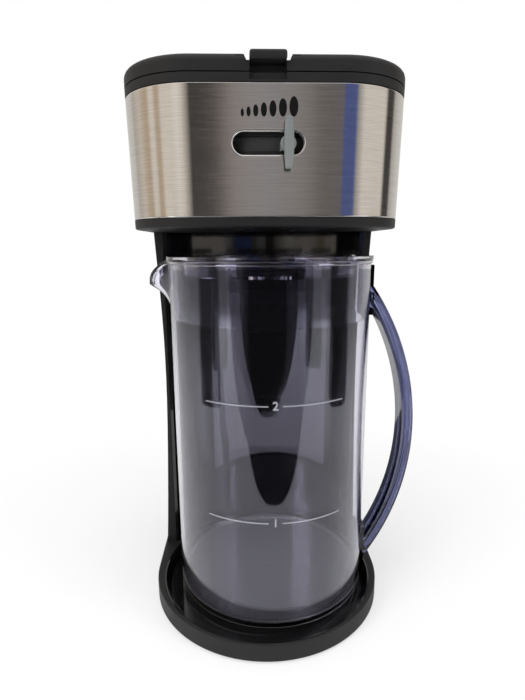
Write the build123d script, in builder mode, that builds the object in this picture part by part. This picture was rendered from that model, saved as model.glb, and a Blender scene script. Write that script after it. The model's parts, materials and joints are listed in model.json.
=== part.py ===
# Iced-tea and coffee brewer with a plastic pitcher.
#
# Frame: millimetres, X to the right, Y to the back, Z up. The origin is on the table, under the middle
# of the round front of the base. The outlet of the brew head is on the Z axis.

import os
from math import cos, pi, radians, sin, sqrt, tan

from build123d import *

os.makedirs("parts", exist_ok=True)

# Fits and clearances
running_fit = 0.05          # pins and pivots, radial
pilot_gap = 0.05            # screw shank in its pilot hole, radial
assembly_gap = 0.2          # between pieces screwed or pushed together
moving_gap = 0.4            # between bodies that move past each other
overcut = 1.0               # how far a cut runs past the face it opens

# Common moulded details
wall = 2.5                  # tower housing and the pan of the head
boss_radius = 4.2
rib_thickness = 2.0
rib_bury = 0.8              # how far a rib runs into the wall it joins

# Fasteners
screw_radius = 1.4
screw_head_radius = 2.9
screw_head_height = 1.5
cross_width = 1.2           # cross recess
cross_length = 4.0
cross_depth = 0.9

# Pitcher body
jug_x = 3.5                 # it stands a little to the right
jug_radius_bottom = 75.5
jug_flare = 0.5             # it is this much wider at the top
jug_height = 260.6
jug_wall = 2.4
jug_floor = 3.2
jug_bead_height = 2.8
jug_bead = 1.2
jug_bead_slope = 0.4
jug_edge_fillet = 1.5
jug_inner_fillet = 5.0

# Spout of the pitcher
spout_reach = 93.0          # from the pitcher's axis to the tip
spout_tip_drop = 16.5       # below the rim
spout_root_drop = 34.5
spout_half_width = 17.0
spout_tip_half_width = 2.0
spout_tip_length = 3.0
spout_tip_height = 2.4
spout_wall = 2.2
spout_overlap = 9.0         # how far the beak is carried through the wall

# Handle of the pitcher
handle_reach = 38.6         # outermost point, beyond the pitcher's wall
handle_outer = 199.0        # radius of the outer curve
handle_depth = 9.0          # between the two curves
handle_drop = 4.2           # middle of the arc, below the middle of the pitcher
handle_half_width = 9.0
handle_web = 5.0
handle_flange = 2.4
handle_root = 4.0           # how far the arcs run into the pads
handle_pad = 3.0
handle_pad_rim_gap = 4.5
handle_pad_foot_gap = 0.7
handle_pad_length = 38.0
handle_glue = 0.1           # between the pads and the wall

# Level lines of the pitcher
mark_low_level = 83.1       # above the pitcher's foot
mark_high_level = 167.1
mark_half_angle = 41.0
mark_height = 1.2
mark_proud = 0.4
mark_glue = 0.02

# Pitcher lid
cover_overhang = 0.4        # flange beyond the bead
cover_seat = 0.1            # between the flange and the rim
cover_thickness = 2.5
cover_collar_depth = 42.3
cover_collar_wall = 1.8
cover_well_depth = 12.0
cover_well_inset = 7.0      # well, inside the collar
cover_well_slope = 1.5
cover_well_wall = 2.0
cover_hole_radius = 13.0
cover_bar_width = 9.0
cover_bar_drop = 0.5
cover_bar_gap = 6.0         # from the hole to the bars
cover_window_half_angle = 18.0
cover_slots = 5             # strainer slits in the collar, behind the spout
cover_slot_width = 5.0
cover_slot_margin = 6.0

# Dish that the pitcher stands in
dish_margin = 10.5          # dish beyond the pitcher's foot
dish_sunk = 1.6             # seat, below the rim of the base
dish_moat_depth = 4.9       # moat, below the seat
dish_seat_inset = 6.5       # flat of the seat, inside the pitcher's foot
dish_seat_slope = 2.0
dish_thickness = 1.6
dish_edge_height = 2.4
dish_edge_slope = 5.5
dish_ledge = 10.0           # width of the ledge that carries the dish

# Base
rim_side = 6.0              # rim beside the dish
rim_front = 1.5             # rim in front of the dish
base_corner = 48.0          # back corners in plan
base_top = 15.5             # rim height above the table
base_wall = 2.2
ledge_thickness = 2.4
rim_fillet = 1.0
plate_thickness = 2.0
foot_height = 2.0
foot_radius = 9.0
foot_stem_radius = 3.0
foot_stem_end = 0.8         # stem above the plate
foot_fillet = 0.6
front_foot_inset = 9.5
rear_foot_inset = 19.0
rear_foot_back = 34.0
base_screw_inset = 14.0
base_screw_back = 52.0
base_screw_corner = 4.0
base_screw_length = 9.0
base_boss_top = 1.0         # boss, below the rim
screw_sink = 0.9            # heads, inside the plate

# Tower
tower_front = 35.0          # front edges of the two side arms
tower_setback = 1.5         # tower inside the base, at its foot
tower_waist_inset = 7.1     # and at its waist
tower_waist_height = 180.0
tower_sections = 6
tower_curve = 1.6           # exponent of the waisted sides
panel_edge_inset = 4.9      # ends of the gloss panel, inside the waist
panel_gap = 8.0             # deepest point of the panel, behind the pitcher
panel_thickness = 2.2
machine_room = 34.0         # from the panel's face to the back of the machine
tower_boss_back = 32.0
tower_boss_wall_gap = 0.7
tower_boss_height = 24.0
tower_screw_length = 16.0

# Head
pitcher_headroom = 21.2     # from the pitcher's rim to the underside
head_overhang = 1.0         # head beyond the base, at its lower edge
head_flare = 2.0            # and this much more at the top of the steel
tower_top_inset = 3.4       # tower inside the head
head_corner = 48.0
head_front_gap = 4.5        # from the well to the front
pan_height = 6.2            # black strip below the steel
pan_fillet = 1.5
pan_hole_radius = 22.0
steel_height = 78.6
steel_thickness = 0.8
steel_glue = 0.1
steel_rear = 56.0           # bare back of the head, behind the steel
head_wall = 2.4
shell_boss_inset = 7.8
shell_boss_front = 53.0     # first pair, from the front
shell_boss_back = 52.0      # second pair, from the back
shell_boss_height = 26.0
shell_rib_reach = 5.5
shell_screw_length = 14.0
deck_thickness = 2.5
trim_height = 5.5
trim_fillet = 0.6
trim_fit = 0.4
trim_notch = 2.0
trim_notch_sill = 1.5

# Brew basket, from the inside outwards
basket_radius = 49.5
basket_wall = 1.8
basket_chamfer = 6.0
basket_chamfer_inside = 6.8
basket_flange_thickness = 2.0
basket_outlet_radius = 7.0
basket_outlet_gap = 3.0     # outlet, above the well's floor
basket_floor_gap = 23.0
basket_floor_fall = 6.0
seat_on_deck = 2.4          # how far the basket's flange reaches over the deck

# Ring, lever and slot of the strength selector
ring_basket_gap = 1.8
ring_thickness = 2.4
ring_height = 12.0
ring_below_slot = 6.5
ring_seat = 0.1
ring_ports = 12
ring_port_radius = 3.2
ring_step = 0.7             # ledge of the well under the ring
well_gap = 0.8              # between the ring and the well
slot_height = 44.6          # middle of the slot, above the lower edge of the steel
slot_length = 43.0
slot_width = 13.8
slot_shell_gap = 0.5
slot_depth = 4.0
window_height = 8.8
window_margin = 1.0
lever_angle = 10.3          # rest place of the lever, to the right of the middle
lever_front_gap = 5.5       # lever in front of the steel
lever_blade_thickness = 3.5
lever_blade_width = 5.5
lever_tip_width = 4.1
lever_blade_low = 15.5
lever_blade_high = 14.0
lever_blade_fillet = 1.2
lever_hub_radius = 4.6
lever_hub_dimple = 2.5
lever_hub_proud = 0.8
lever_stem_width = 4.6
lever_stem_height = 6.0
lever_stem_bury = 0.5

# Well that holds the basket and leads the brew down
well_wall = 2.0
well_floor_gap = 0.8
well_floor_thickness = 2.2
outlet_hole_radius = 14.0

# Printed strength marks over the slot
mark_count = 7
mark_start = -16.8
mark_first_width = 2.0
mark_first_height = 4.5
mark_width_step = 0.57
mark_height_step = 1.16
mark_spacing = 1.5
mark_above_slot = 14.5
mark_thickness = 0.15

# Permanent filter
filter_bottom_inset = 11.5
filter_floor_gap = 4.0
filter_top_gap = 1.0
filter_rim = 0.9
filter_rim_reach = 3.4
filter_rib = 1.6
filter_ledge = 9.0
filter_windows = 8
filter_window_margin = 8.0
filter_window_rib = 6.0
filter_window_fillet = 3.0
mesh_thickness = 0.5
mesh_gap = 0.1
mesh_top_gap = 4.0

# Lid of the head
lid_seam = 0.5
lid_height = 10.5
lid_edge_fillet = 5.0
lid_wall = 2.4
lid_back_gap = 2.0
tab_width = 22.5
tab_proud = 1.8             # thumb tab above the lid
tab_thickness = 6.0
tab_reach = 4.5             # how far it stands out in front
tab_lip_fillet = 2.0
tab_slot_width = 3.0
tab_slot_length = 14.0
tab_slot_sill = 0.6         # notches beside the tab, below its underside
tab_pocket_depth = 8.0
liner_thickness = 1.5
liner_side_margin = 14.0
liner_front_margin = 2.0
liner_back_margin = 12.0
liner_corner = 30.0

# Hinge of the lid
hinge_behind = 3.5          # axis behind the head
hinge_above = 2.5           # axis above the trim
hinge_pin_radius = 1.5
knuckle_radius = 3.8
knuckle_start = 21.0
knuckle_length = 16.0
lug_length = 7.0
lug_sill = 0.6

# Water tank
reservoir_side_gap = 14.9   # tank, inside the tower's waist
reservoir_bottom = 190.0
reservoir_wall = 2.0
reservoir_gap = 2.0
reservoir_corner = 40.0
outlet_pipe_length = 14.0

# Pipes and hoses
pipe_x = 40.0
pipe_back = 14.0            # middle of the pipes, in front of the back
pipe_radius = 4.0
pipe_wall = 1.0
hose_wall = 1.6
hose_overlap = 10.0
hose_end_gap = 3.0
riser_end_gap = 8.0
riser_pan_gap = 1.0
clamp_wall = 1.0
clamp_height = 4.0
clamp_start = 4.0
clamp_end = 7.0
clamp_tail_width = 3.2
clamp_tail = 2.7
valve_drop = 44.0           # middle of the check valve, below the tank
valve_radius = 7.5
valve_half_height = 7.0
valve_stub = 11.0
valve_wall_side = 2.0
valve_wall_end = 3.0
spout_pipe_rise = 7.3       # water spout above the deck
spout_pipe_end = 40.0
spout_pipe_bend = 7.0
spout_pipe_plug = 12.0
saddle_foot_radius = 6.0
saddle_foot_height = 1.5
saddle_neck_radius = 4.5
saddle_wrap = 1.0

# Heater
heater_bottom = 34.0
heater_top = 96.0
heater_bend = 16.0
heater_half_width = 7.0
heater_depth = 22.0
heater_corner = 3.0
heater_from_pipe = 5.0      # middle of the casting, in front of the pipes
element_from_pipe = 11.5
element_radius = 3.4
element_end = 6.0
element_pin_radius = 1.2
element_pin_length = 12.0
pipe_stub = 12.0            # water tube above the casting
bracket_thickness = 1.5
bracket_half_width = 34.0
bracket_height = 42.5
bracket_foot_half_width = 7.0
bracket_foot_front = 6.0
bracket_screw_x = 27.0
bracket_screw_front = 1.0
bracket_screw_length = 7.0
thermostat_height = 70.0
thermostat_radius = 8.0
thermostat_depth = 6.0
thermostat_cap_radius = 6.0
thermostat_cap_depth = 3.0
thermostat_tab_length = 4.1
thermostat_tab_width = 6.0
thermostat_tab_spread = 4.5
fuse_height = 68.0
fuse_radius = 1.75
fuse_half_length = 6.0
fuse_wire_radius = 0.6
fuse_wire_length = 6.0
fuse_spread = 5.0
blade_thickness = 1.0

# Terminal block on the base
terminal_half_width = 15.0
terminal_back = 16.5        # its middle, in front of the back
terminal_depth = 11.0
terminal_height = 7.0
terminal_step = 1.5
terminal_tower_height = 4.0
terminal_pitch = 9.0
terminal_well_radius = 2.4
terminal_well_depth = 6.0

# Switch on the right side of the tower
switch_height = 62.0
switch_from_back = 52.0
switch_width = 13.0
switch_length = 21.0
switch_depth = 14.0
switch_bezel = 2.0
switch_bezel_reach = 2.5
switch_bezel_fillet = 1.5
switch_recess = 1.6         # flat for the switch, below the side of the tower
switch_flat_margin = 9.0
switch_flat_corner = 3.0
switch_pad_margin = 12.0
switch_pad_depth = 6.0
switch_tab_length = 5.0
switch_tab_width = 4.8
switch_tab_thickness = 0.8
switch_tab_offset = 4.0
rocker_throw = 16.0         # degrees from off to on
rocker_half_y = 4.6
rocker_half_z = 7.8
rocker_end_gap = 1.2
rocker_well = 4.5
rocker_pivot_depth = 2.6
rocker_pin_radius = 1.2
rocker_pin_end = 1.0
rocker_edge_out = 4.8
rocker_middle_out = 3.6
rocker_edge_in = 0.5
rocker_middle_in = 2.8

# Cord gland in the back
gland_x = 0.0
gland_height = 34.0
gland_radius = 6.0
gland_bore = 3.5
gland_flange = 2.5
gland_flange_thickness = 3.0
gland_inner_length = 2.0

# Levels that follow from the sizes above
dish_seat = base_top - dish_sunk
dish_moat = dish_seat - dish_moat_depth
ledge_top = dish_moat - dish_thickness
plate_top = foot_height + plate_thickness
deck_bottom = base_top - base_wall
jug_foot = dish_seat
jug_top = jug_foot + jug_height
tower_top = jug_top + pitcher_headroom
pan_floor_top = tower_top + wall
pan_lip_top = tower_top + pan_height
steel_top = pan_lip_top + steel_height
deck_underside = steel_top - deck_thickness
trim_top = steel_top + trim_height
lid_bottom = trim_top + lid_seam
lid_top = lid_bottom + lid_height
tab_top = lid_top + tab_proud
tab_bottom = tab_top - tab_thickness
hinge_z = trim_top + hinge_above
slot_middle = pan_lip_top + slot_height
ring_bottom = slot_middle - ring_below_slot
well_floor = pan_floor_top + well_floor_gap
basket_outlet_bottom = well_floor + basket_outlet_gap
basket_floor = well_floor + basket_floor_gap
basket_top = steel_top + basket_flange_thickness
filter_bottom = basket_floor + filter_floor_gap
valve_middle = reservoir_bottom - valve_drop
spout_pipe_height = steel_top + spout_pipe_rise

# Plan sizes that follow
jug_radius_top = jug_radius_bottom + jug_flare
dish_radius = jug_radius_bottom + dish_margin
dish_seat_radius = jug_radius_bottom - dish_seat_inset
base_radius = dish_radius + rim_side
dish_centre_y = rim_front - rim_side
panel_deep_y = jug_radius_top + panel_gap
base_back = panel_deep_y + machine_room
tower_half_bottom = base_radius - tower_setback
tower_half_waist = base_radius - tower_waist_inset
head_half_bottom = base_radius + head_overhang
head_half_top = head_half_bottom + head_flare
tower_half_top = head_half_bottom - tower_top_inset
panel_edge_x = tower_half_waist - panel_edge_inset
panel_depth = panel_deep_y - tower_front
panel_radius = (panel_edge_x ** 2 + panel_depth ** 2) / (2 * panel_depth)
panel_centre_y = panel_deep_y - panel_radius
panel_back = panel_radius + panel_thickness
ring_inner = basket_radius + ring_basket_gap
ring_outer = ring_inner + ring_thickness
well_inner = ring_outer + well_gap
well_outer = well_inner + well_wall
head_front = -(well_outer + head_front_gap)
head_back = base_back
steel_back_end = head_back - steel_rear
reservoir_half_width = tower_half_waist - reservoir_side_gap
shell_inset = steel_thickness + steel_glue
lid_back = head_back - lid_back_gap
hinge_y = head_back + hinge_behind
pipe_y = base_back - pipe_back
heater_y = pipe_y - heater_from_pipe
element_y = pipe_y - element_from_pipe
heater_back = heater_y + heater_depth / 2
hose_outer = pipe_radius + hose_wall
switch_y = base_back - switch_from_back
lever_blade_inner = lever_front_gap - head_front

# Places that several pieces share
foot_circle = base_radius - foot_radius - front_foot_inset
foot_spots = ((foot_circle * sin(pi / 4), -foot_circle * cos(pi / 4)),
              (base_radius - foot_radius - rear_foot_inset, base_back - rear_foot_back))
foot_places = [(side * x, y) for side in (-1, 1) for x, y in foot_spots]
base_screw_spots = ((base_radius - base_screw_inset, base_back - base_screw_back),
                    (base_radius - base_corner - base_screw_corner, base_back - pipe_back + overcut))
base_screw_places = [(side * x, y) for side in (-1, 1) for x, y in base_screw_spots]
tower_boss_x = tower_half_waist - wall - boss_radius - tower_boss_wall_gap
tower_boss_y = base_back - tower_boss_back
tower_boss_places = [(side * tower_boss_x, tower_boss_y) for side in (-1, 1)]
bracket_screw_places = [(side * bracket_screw_x, heater_y - bracket_screw_front) for side in (-1, 1)]
shell_boss_places = [(side * (head_half_bottom - shell_boss_inset), y) for side in (-1, 1)
                     for y in (head_front + shell_boss_front, head_back - shell_boss_back)]


def finish(name, builder):
    """Label a finished piece and write it out."""
    builder.part.label = name
    export_step(builder.part, "parts/" + name + ".step")


def base_plan(inset):
    """Plan of the base: round front, straight sides, rounded back."""
    half = base_radius - inset
    corner = base_corner - inset
    Circle(half)
    with Locations((0, (base_back - base_corner) / 2)):
        RectangleRounded(2 * half, base_back + base_corner - 2 * inset, corner)


def head_half(height):
    """Half the width of the head at a height; it widens a little upwards."""
    share = (height - pan_lip_top) / (steel_top - pan_lip_top)
    return head_half_bottom + (head_half_top - head_half_bottom) * share


def head_block(inset, low, high, mode=Mode.ADD):
    """Solid of the head's outline between two heights."""
    front = head_front + inset
    rear = head_back - inset
    sections = []
    for height in (low, high):
        half = head_half(height) - inset
        with BuildSketch(Plane.XY.offset(height)) as section:
            with Locations((0, (front + rear) / 2)):
                RectangleRounded(2 * half, rear - front, head_corner - inset)
        sections.append(section.sketch)
    loft(sections, ruled=True, mode=mode)


def tower_half(height):
    """Half the width of the tower: slim at the waist."""
    if height < tower_waist_height:
        share = (tower_waist_height - height) / (tower_waist_height - base_top)
        return tower_half_waist + (tower_half_bottom - tower_half_waist) * share ** tower_curve
    share = (height - tower_waist_height) / (tower_top - tower_waist_height)
    return tower_half_waist + (tower_half_top - tower_half_waist) * share ** tower_curve


def tower_side(height, y):
    """X of the tower's side at a height, also on the rounded back corner."""
    beyond = max(0.0, y - (base_back - base_corner))
    return tower_half(height) - base_corner + sqrt(base_corner ** 2 - beyond ** 2)


def tower_block(inset, low, high, front, mode=Mode.ADD):
    """Solid of the tower's outline from a flat front to its rounded back."""
    rear = base_back - inset
    sections = []
    for step in range(tower_sections + 1):
        height = low + (high - low) * step / tower_sections
        half = tower_half(height) - inset
        with BuildSketch(Plane.XY.offset(height)) as section:
            RectangleRounded(2 * half, 2 * rear, base_corner - inset)
            with Locations((0, front / 2 + rear)):
                Rectangle(4 * base_radius, 2 * rear - front, mode=Mode.INTERSECT)
        sections.append(section.sketch)
    loft(sections, mode=mode)


def post(x, y, radius, low, high, mode=Mode.ADD):
    """Round post or hole along Z."""
    with BuildSketch(Plane.XY.offset(low)) as disc:
        with Locations((x, y)):
            Circle(radius)
    extrude(disc.sketch, amount=high - low, mode=mode)


def block(x_span, y_span, z_span, mode=Mode.ADD):
    """Box between two values of each coordinate."""
    with BuildSketch(Plane.XY.offset(z_span[0])) as face:
        with Locations(((x_span[0] + x_span[1]) / 2, (y_span[0] + y_span[1]) / 2)):
            Rectangle(x_span[1] - x_span[0], y_span[1] - y_span[0])
    extrude(face.sketch, amount=z_span[1] - z_span[0], mode=mode)


def side_cylinder(x, y, z, radius, length, mode=Mode.ADD):
    """Cylinder along X."""
    with BuildSketch(Plane.YZ.offset(x)) as disc:
        with Locations((y, z)):
            Circle(radius)
    extrude(disc.sketch, amount=length, mode=mode)


def screw_up(x, y, head_bottom, length):
    """Cross-head screw with its head below and its shank pointing up."""
    shank_start = head_bottom + screw_head_height
    post(x, y, screw_head_radius, head_bottom, shank_start)
    post(x, y, screw_radius, shank_start, shank_start + length)
    with BuildSketch(Plane.XY.offset(head_bottom)) as cross:
        with Locations((x, y)):
            Rectangle(cross_width, cross_length)
            Rectangle(cross_length, cross_width)
    extrude(cross.sketch, amount=cross_depth, mode=Mode.SUBTRACT)


def swept_tube(points, bend, radius, bore=0.0):
    """Tube through a few points with equal bends, and a bore right through it."""
    with BuildLine() as route:
        FilletPolyline(*points, radius=bend)
    start = Plane(origin=route.line @ 0, z_dir=route.line % 0)
    for size, mode in ((radius, Mode.ADD), (bore, Mode.SUBTRACT)):
        if size > 0:
            with BuildSketch(start) as ring:
                Circle(size)
            sweep(ring.sketch, path=route.line, mode=mode)


# Base shell: rim, side wall, deck under the tower and a ledge for the dish
with BuildPart() as base_shell:
    with BuildSketch(Plane.XY.offset(foot_height)):
        base_plan(0)
    extrude(amount=base_top - foot_height)
    fillet(base_shell.faces().sort_by(Axis.Z)[-1].edges(), rim_fillet)
    with BuildSketch(Plane.XY.offset(foot_height)):
        base_plan(base_wall)
    extrude(amount=deck_bottom - foot_height, mode=Mode.SUBTRACT)
    with BuildSketch(Plane.XY.offset(ledge_top - ledge_thickness)):
        with Locations((0, dish_centre_y)):
            Circle(dish_radius + base_wall)
        Circle(base_radius - base_wall / 2, mode=Mode.INTERSECT)
    extrude(amount=base_top - rim_fillet - ledge_top + ledge_thickness)
    post(0, dish_centre_y, dish_radius, ledge_top, base_top + overcut, Mode.SUBTRACT)
    post(0, dish_centre_y, dish_radius - dish_ledge, foot_height, ledge_top + overcut, Mode.SUBTRACT)
    for x, y in base_screw_places:
        post(x, y, boss_radius, plate_top, base_top - base_boss_top)
        post(x, y, screw_radius + pilot_gap, foot_height, deck_bottom, Mode.SUBTRACT)
    for x, y in tower_boss_places:
        post(x, y, screw_radius + assembly_gap, deck_bottom - overcut, base_top + overcut, Mode.SUBTRACT)
    for x, y in bracket_screw_places:
        post(x, y, screw_radius + pilot_gap, deck_bottom - overcut, base_top + overcut, Mode.SUBTRACT)
finish("base_shell", base_shell)

# Dish: a moat round a raised seat, one thin moulding
with BuildPart() as tray_dish:
    with BuildSketch(Plane.XZ):
        dish_rim = dish_radius - assembly_gap
        slope_foot = dish_rim - dish_edge_slope
        seat_end = dish_seat_radius + dish_seat_slope
        with BuildLine():
            Polyline(
                (0, dish_seat), (dish_seat_radius, dish_seat), (seat_end, dish_moat),
                (slope_foot, dish_moat), (dish_rim - base_wall / 2, base_top), (dish_rim, base_top),
                (dish_rim, base_top - dish_edge_height), (slope_foot + dish_thickness / 2, ledge_top),
                (seat_end - dish_thickness / 2, ledge_top),
                (dish_seat_radius - dish_thickness / 2, dish_seat - dish_thickness),
                (0, dish_seat - dish_thickness), close=True)
        make_face()
    revolve(axis=Axis.Z)
tray_dish.part = tray_dish.part.moved(Location((0, dish_centre_y, 0)))
finish("tray_dish", tray_dish)

# Base plate
with BuildPart() as base_plate:
    with BuildSketch(Plane.XY.offset(foot_height)):
        base_plan(base_wall + assembly_gap)
    extrude(amount=plate_thickness)
    for x, y in foot_places:
        post(x, y, foot_stem_radius + assembly_gap, 0, plate_top + overcut, Mode.SUBTRACT)
    for x, y in base_screw_places:
        post(x, y, screw_radius + assembly_gap, 0, plate_top + overcut, Mode.SUBTRACT)
        post(x, y, screw_head_radius + assembly_gap, 0, foot_height + screw_sink, Mode.SUBTRACT)
    for x, y in tower_boss_places:
        post(x, y, screw_head_radius + overcut, 0, plate_top + overcut, Mode.SUBTRACT)
finish("base_plate", base_plate)

# Four rubber feet with stems pushed into the plate
with BuildPart() as base_feet:
    for x, y in foot_places:
        post(x, y, foot_radius, 0, foot_height)
        post(x, y, foot_stem_radius, foot_height, plate_top + foot_stem_end)
    rims = base_feet.edges().filter_by(GeomType.CIRCLE).group_by(Axis.Z)[0]
    fillet(rims, foot_fillet)
finish("base_feet", base_feet)

with BuildPart() as base_screws:
    for x, y in base_screw_places:
        screw_up(x, y, foot_height + screw_sink - screw_head_height, base_screw_length)
finish("base_screws", base_screws)

# Tower housing: waisted sides and back, with a strip along each front edge
with BuildPart() as tower_housing:
    tower_block(0, base_top, tower_top, tower_front)
    tower_block(wall, base_top, tower_top, tower_front + wall, mode=Mode.SUBTRACT)
    post(0, panel_centre_y, panel_back + assembly_gap, base_top - overcut, tower_top + overcut, Mode.SUBTRACT)
    for x, y in tower_boss_places:
        side = 1 if x > 0 else -1
        for low in (base_top, tower_top - tower_boss_height):
            high = low + tower_boss_height
            rib_end = min(tower_side(low, y), tower_side(high, y)) - rib_bury
            post(x, y, boss_radius, low, high)
            block(sorted((x, side * rib_end)), (y - rib_thickness / 2, y + rib_thickness / 2), (low, high))
            post(x, y, screw_radius + pilot_gap, low - overcut, high + overcut, Mode.SUBTRACT)
    # thick flat seat for the switch, inside and outside
    switch_face = tower_half(switch_height) - switch_recess
    with BuildSketch(Plane.YZ.offset(switch_face - switch_pad_depth)):
        with Locations((switch_y, switch_height)):
            Rectangle(switch_width + switch_pad_margin, switch_length + switch_pad_margin)
    extrude(amount=switch_pad_depth)
    with BuildSketch(Plane.YZ.offset(switch_face)):
        with Locations((switch_y, switch_height)):
            RectangleRounded(switch_width + switch_flat_margin, switch_length + switch_flat_margin,
                             switch_flat_corner)
    extrude(amount=switch_recess + overcut, mode=Mode.SUBTRACT)
    with BuildSketch(Plane.YZ.offset(switch_face - switch_pad_depth - overcut)):
        with Locations((switch_y, switch_height)):
            Rectangle(switch_width + 2 * assembly_gap, switch_length + 2 * assembly_gap)
    extrude(amount=switch_pad_depth + 2 * overcut, mode=Mode.SUBTRACT)
    # hole for the cord gland in the back
    with BuildSketch(Plane.XZ.offset(-base_back - overcut)):
        with Locations((gland_x, gland_height)):
            Circle(gland_radius + assembly_gap)
    extrude(amount=wall + 2 * overcut, mode=Mode.SUBTRACT)
finish("tower_housing", tower_housing)

# Concave gloss panel between the arms
with BuildPart() as tower_front_panel:
    with BuildSketch(Plane.XY.offset(base_top)):
        with Locations((0, panel_centre_y)):
            Circle(panel_back)
            Circle(panel_radius, mode=Mode.SUBTRACT)
        with Locations((0, tower_front + panel_back)):
            Rectangle(4 * base_radius, 2 * panel_back, mode=Mode.INTERSECT)
    extrude(amount=tower_top - base_top)
finish("tower_front_panel", tower_front_panel)

# Screws up through the base deck into the tower
with BuildPart() as tower_screws:
    for x, y in tower_boss_places:
        screw_up(x, y, deck_bottom - screw_head_height, tower_screw_length)
finish("tower_screws", tower_screws)


def reservoir_plan(inset):
    """Crescent behind the concave panel, notched for the rising pipe."""
    half = reservoir_half_width - inset
    rear = base_back - wall - reservoir_gap - inset
    notch = pipe_radius + hose_wall + reservoir_gap + inset
    RectangleRounded(2 * half, 2 * rear, reservoir_corner - inset)
    with Locations((0, panel_centre_y)):
        Circle(panel_back + reservoir_gap + inset, mode=Mode.SUBTRACT)
    with Locations((0, -base_back)):
        Rectangle(4 * base_radius, 2 * base_back, mode=Mode.SUBTRACT)
    with Locations((pipe_x, pipe_y - notch + base_back / 2)):
        Rectangle(2 * notch, base_back, mode=Mode.SUBTRACT)


# Pan under the head: the black strip below the steel and the underside
with BuildPart() as head_pan:
    head_block(0, tower_top, pan_lip_top)
    fillet(head_pan.faces().sort_by(Axis.Z)[0].edges(), pan_fillet)
    head_block(head_wall + steel_thickness, pan_floor_top, pan_lip_top + overcut, mode=Mode.SUBTRACT)
    post(0, 0, pan_hole_radius, tower_top - overcut, pan_floor_top + overcut, Mode.SUBTRACT)
    with BuildSketch(Plane.XY.offset(tower_top - overcut)):
        reservoir_plan(-assembly_gap)
        with Locations((pipe_x, pipe_y)):
            Circle(hose_outer + riser_pan_gap)
    extrude(amount=wall + 2 * overcut, mode=Mode.SUBTRACT)
    for x, y in tower_boss_places + shell_boss_places:
        post(x, y, screw_radius + assembly_gap, tower_top - overcut, pan_floor_top + overcut, Mode.SUBTRACT)
    for x, y in shell_boss_places:
        post(x, y, screw_head_radius + assembly_gap, tower_top - overcut, tower_top + screw_head_height,
             Mode.SUBTRACT)
finish("head_pan", head_pan)

with BuildPart() as head_screws:
    for x, y in tower_boss_places:
        screw_up(x, y, -pan_floor_top - screw_head_height, tower_screw_length)
head_screws.part = head_screws.part.mirror(Plane.XY)
finish("head_screws", head_screws)

with BuildPart() as shell_screws:
    for x, y in shell_boss_places:
        screw_up(x, y, tower_top, shell_screw_length)
finish("shell_screws", shell_screws)

# Slot that the strength lever moves in
front_plane = Plane.XZ.offset(-head_front)


def slot_cut(growth):
    """Round-ended slot through the front of the head."""
    with BuildSketch(front_plane.offset(slot_depth)) as slot:
        with Locations((0, slot_middle)):
            SlotOverall(slot_length + 2 * growth, slot_width + 2 * growth)
    extrude(slot.sketch, amount=-2 * slot_depth - head_wall, mode=Mode.SUBTRACT)


# Steel wrap over the front and sides
beyond = 2 * base_back
with BuildPart() as steel_band:
    head_block(0, pan_lip_top, steel_top)
    head_block(steel_thickness, pan_lip_top - overcut, steel_top + overcut, mode=Mode.SUBTRACT)
    block((-beyond, beyond), (steel_back_end, beyond), (pan_lip_top - overcut, steel_top + overcut),
          mode=Mode.SUBTRACT)
    slot_cut(0)
finish("steel_band", steel_band)

# Inner shell of the head, flush with the steel at the back
shell_boss_top = pan_floor_top + shell_boss_height
with BuildPart() as head_shell:
    head_block(0, pan_lip_top, steel_top)
    block((-beyond, beyond), (-beyond, steel_back_end + assembly_gap),
          (pan_lip_top - overcut, steel_top + overcut), mode=Mode.SUBTRACT)
    head_block(shell_inset, pan_lip_top, steel_top)
    head_block(shell_inset + head_wall, pan_lip_top - overcut, steel_top + overcut, mode=Mode.SUBTRACT)
    slot_cut(slot_shell_gap)
    for x, y in shell_boss_places:
        rib_end = x + shell_rib_reach if x > 0 else x - shell_rib_reach
        post(x, y, boss_radius, pan_floor_top, shell_boss_top)
        block(sorted((x, rib_end)), (y - rib_thickness / 2, y + rib_thickness / 2),
              (pan_lip_top, shell_boss_top))
        post(x, y, screw_radius + pilot_gap, pan_floor_top - overcut, pan_floor_top + shell_screw_length,
             Mode.SUBTRACT)
finish("head_shell", head_shell)

# Deck and well: carries the basket, leads the brew down, and leaves the tank's mouth open
with BuildPart() as brew_deck:
    head_block(shell_inset + head_wall + assembly_gap, deck_underside, steel_top)
    post(0, 0, well_outer, well_floor, steel_top)
    post(0, 0, well_inner, ring_bottom, steel_top + overcut, Mode.SUBTRACT)
    post(0, 0, ring_inner - ring_step, ring_bottom - well_wall, ring_bottom + overcut, Mode.SUBTRACT)
    post(0, 0, well_inner, well_floor + well_floor_thickness, ring_bottom - well_wall, Mode.SUBTRACT)
    post(0, 0, outlet_hole_radius, well_floor - overcut, well_floor + well_floor_thickness + overcut,
         Mode.SUBTRACT)
    with BuildSketch(Plane.XY.offset(deck_underside - overcut)):
        reservoir_plan(reservoir_wall)
    extrude(amount=deck_thickness + 2 * overcut, mode=Mode.SUBTRACT)
    post(pipe_x, pipe_y, pipe_radius + assembly_gap, deck_underside - overcut, steel_top + overcut,
         Mode.SUBTRACT)
    window = slot_length / 2 + window_margin
    window_back = -sqrt(well_inner ** 2 - window ** 2) + well_wall
    block((-window, window), (-well_outer - overcut, window_back),
          (slot_middle - window_height / 2, slot_middle + window_height / 2), mode=Mode.SUBTRACT)
finish("brew_deck", brew_deck)

# Black ring over the steel, with the hinge lugs and a notch for the finger
lug_starts = (knuckle_start - moving_gap - lug_length, knuckle_start + knuckle_length + moving_gap)
lug_places = [(side, start) for side in (-1, 1) for start in lug_starts]


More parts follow.
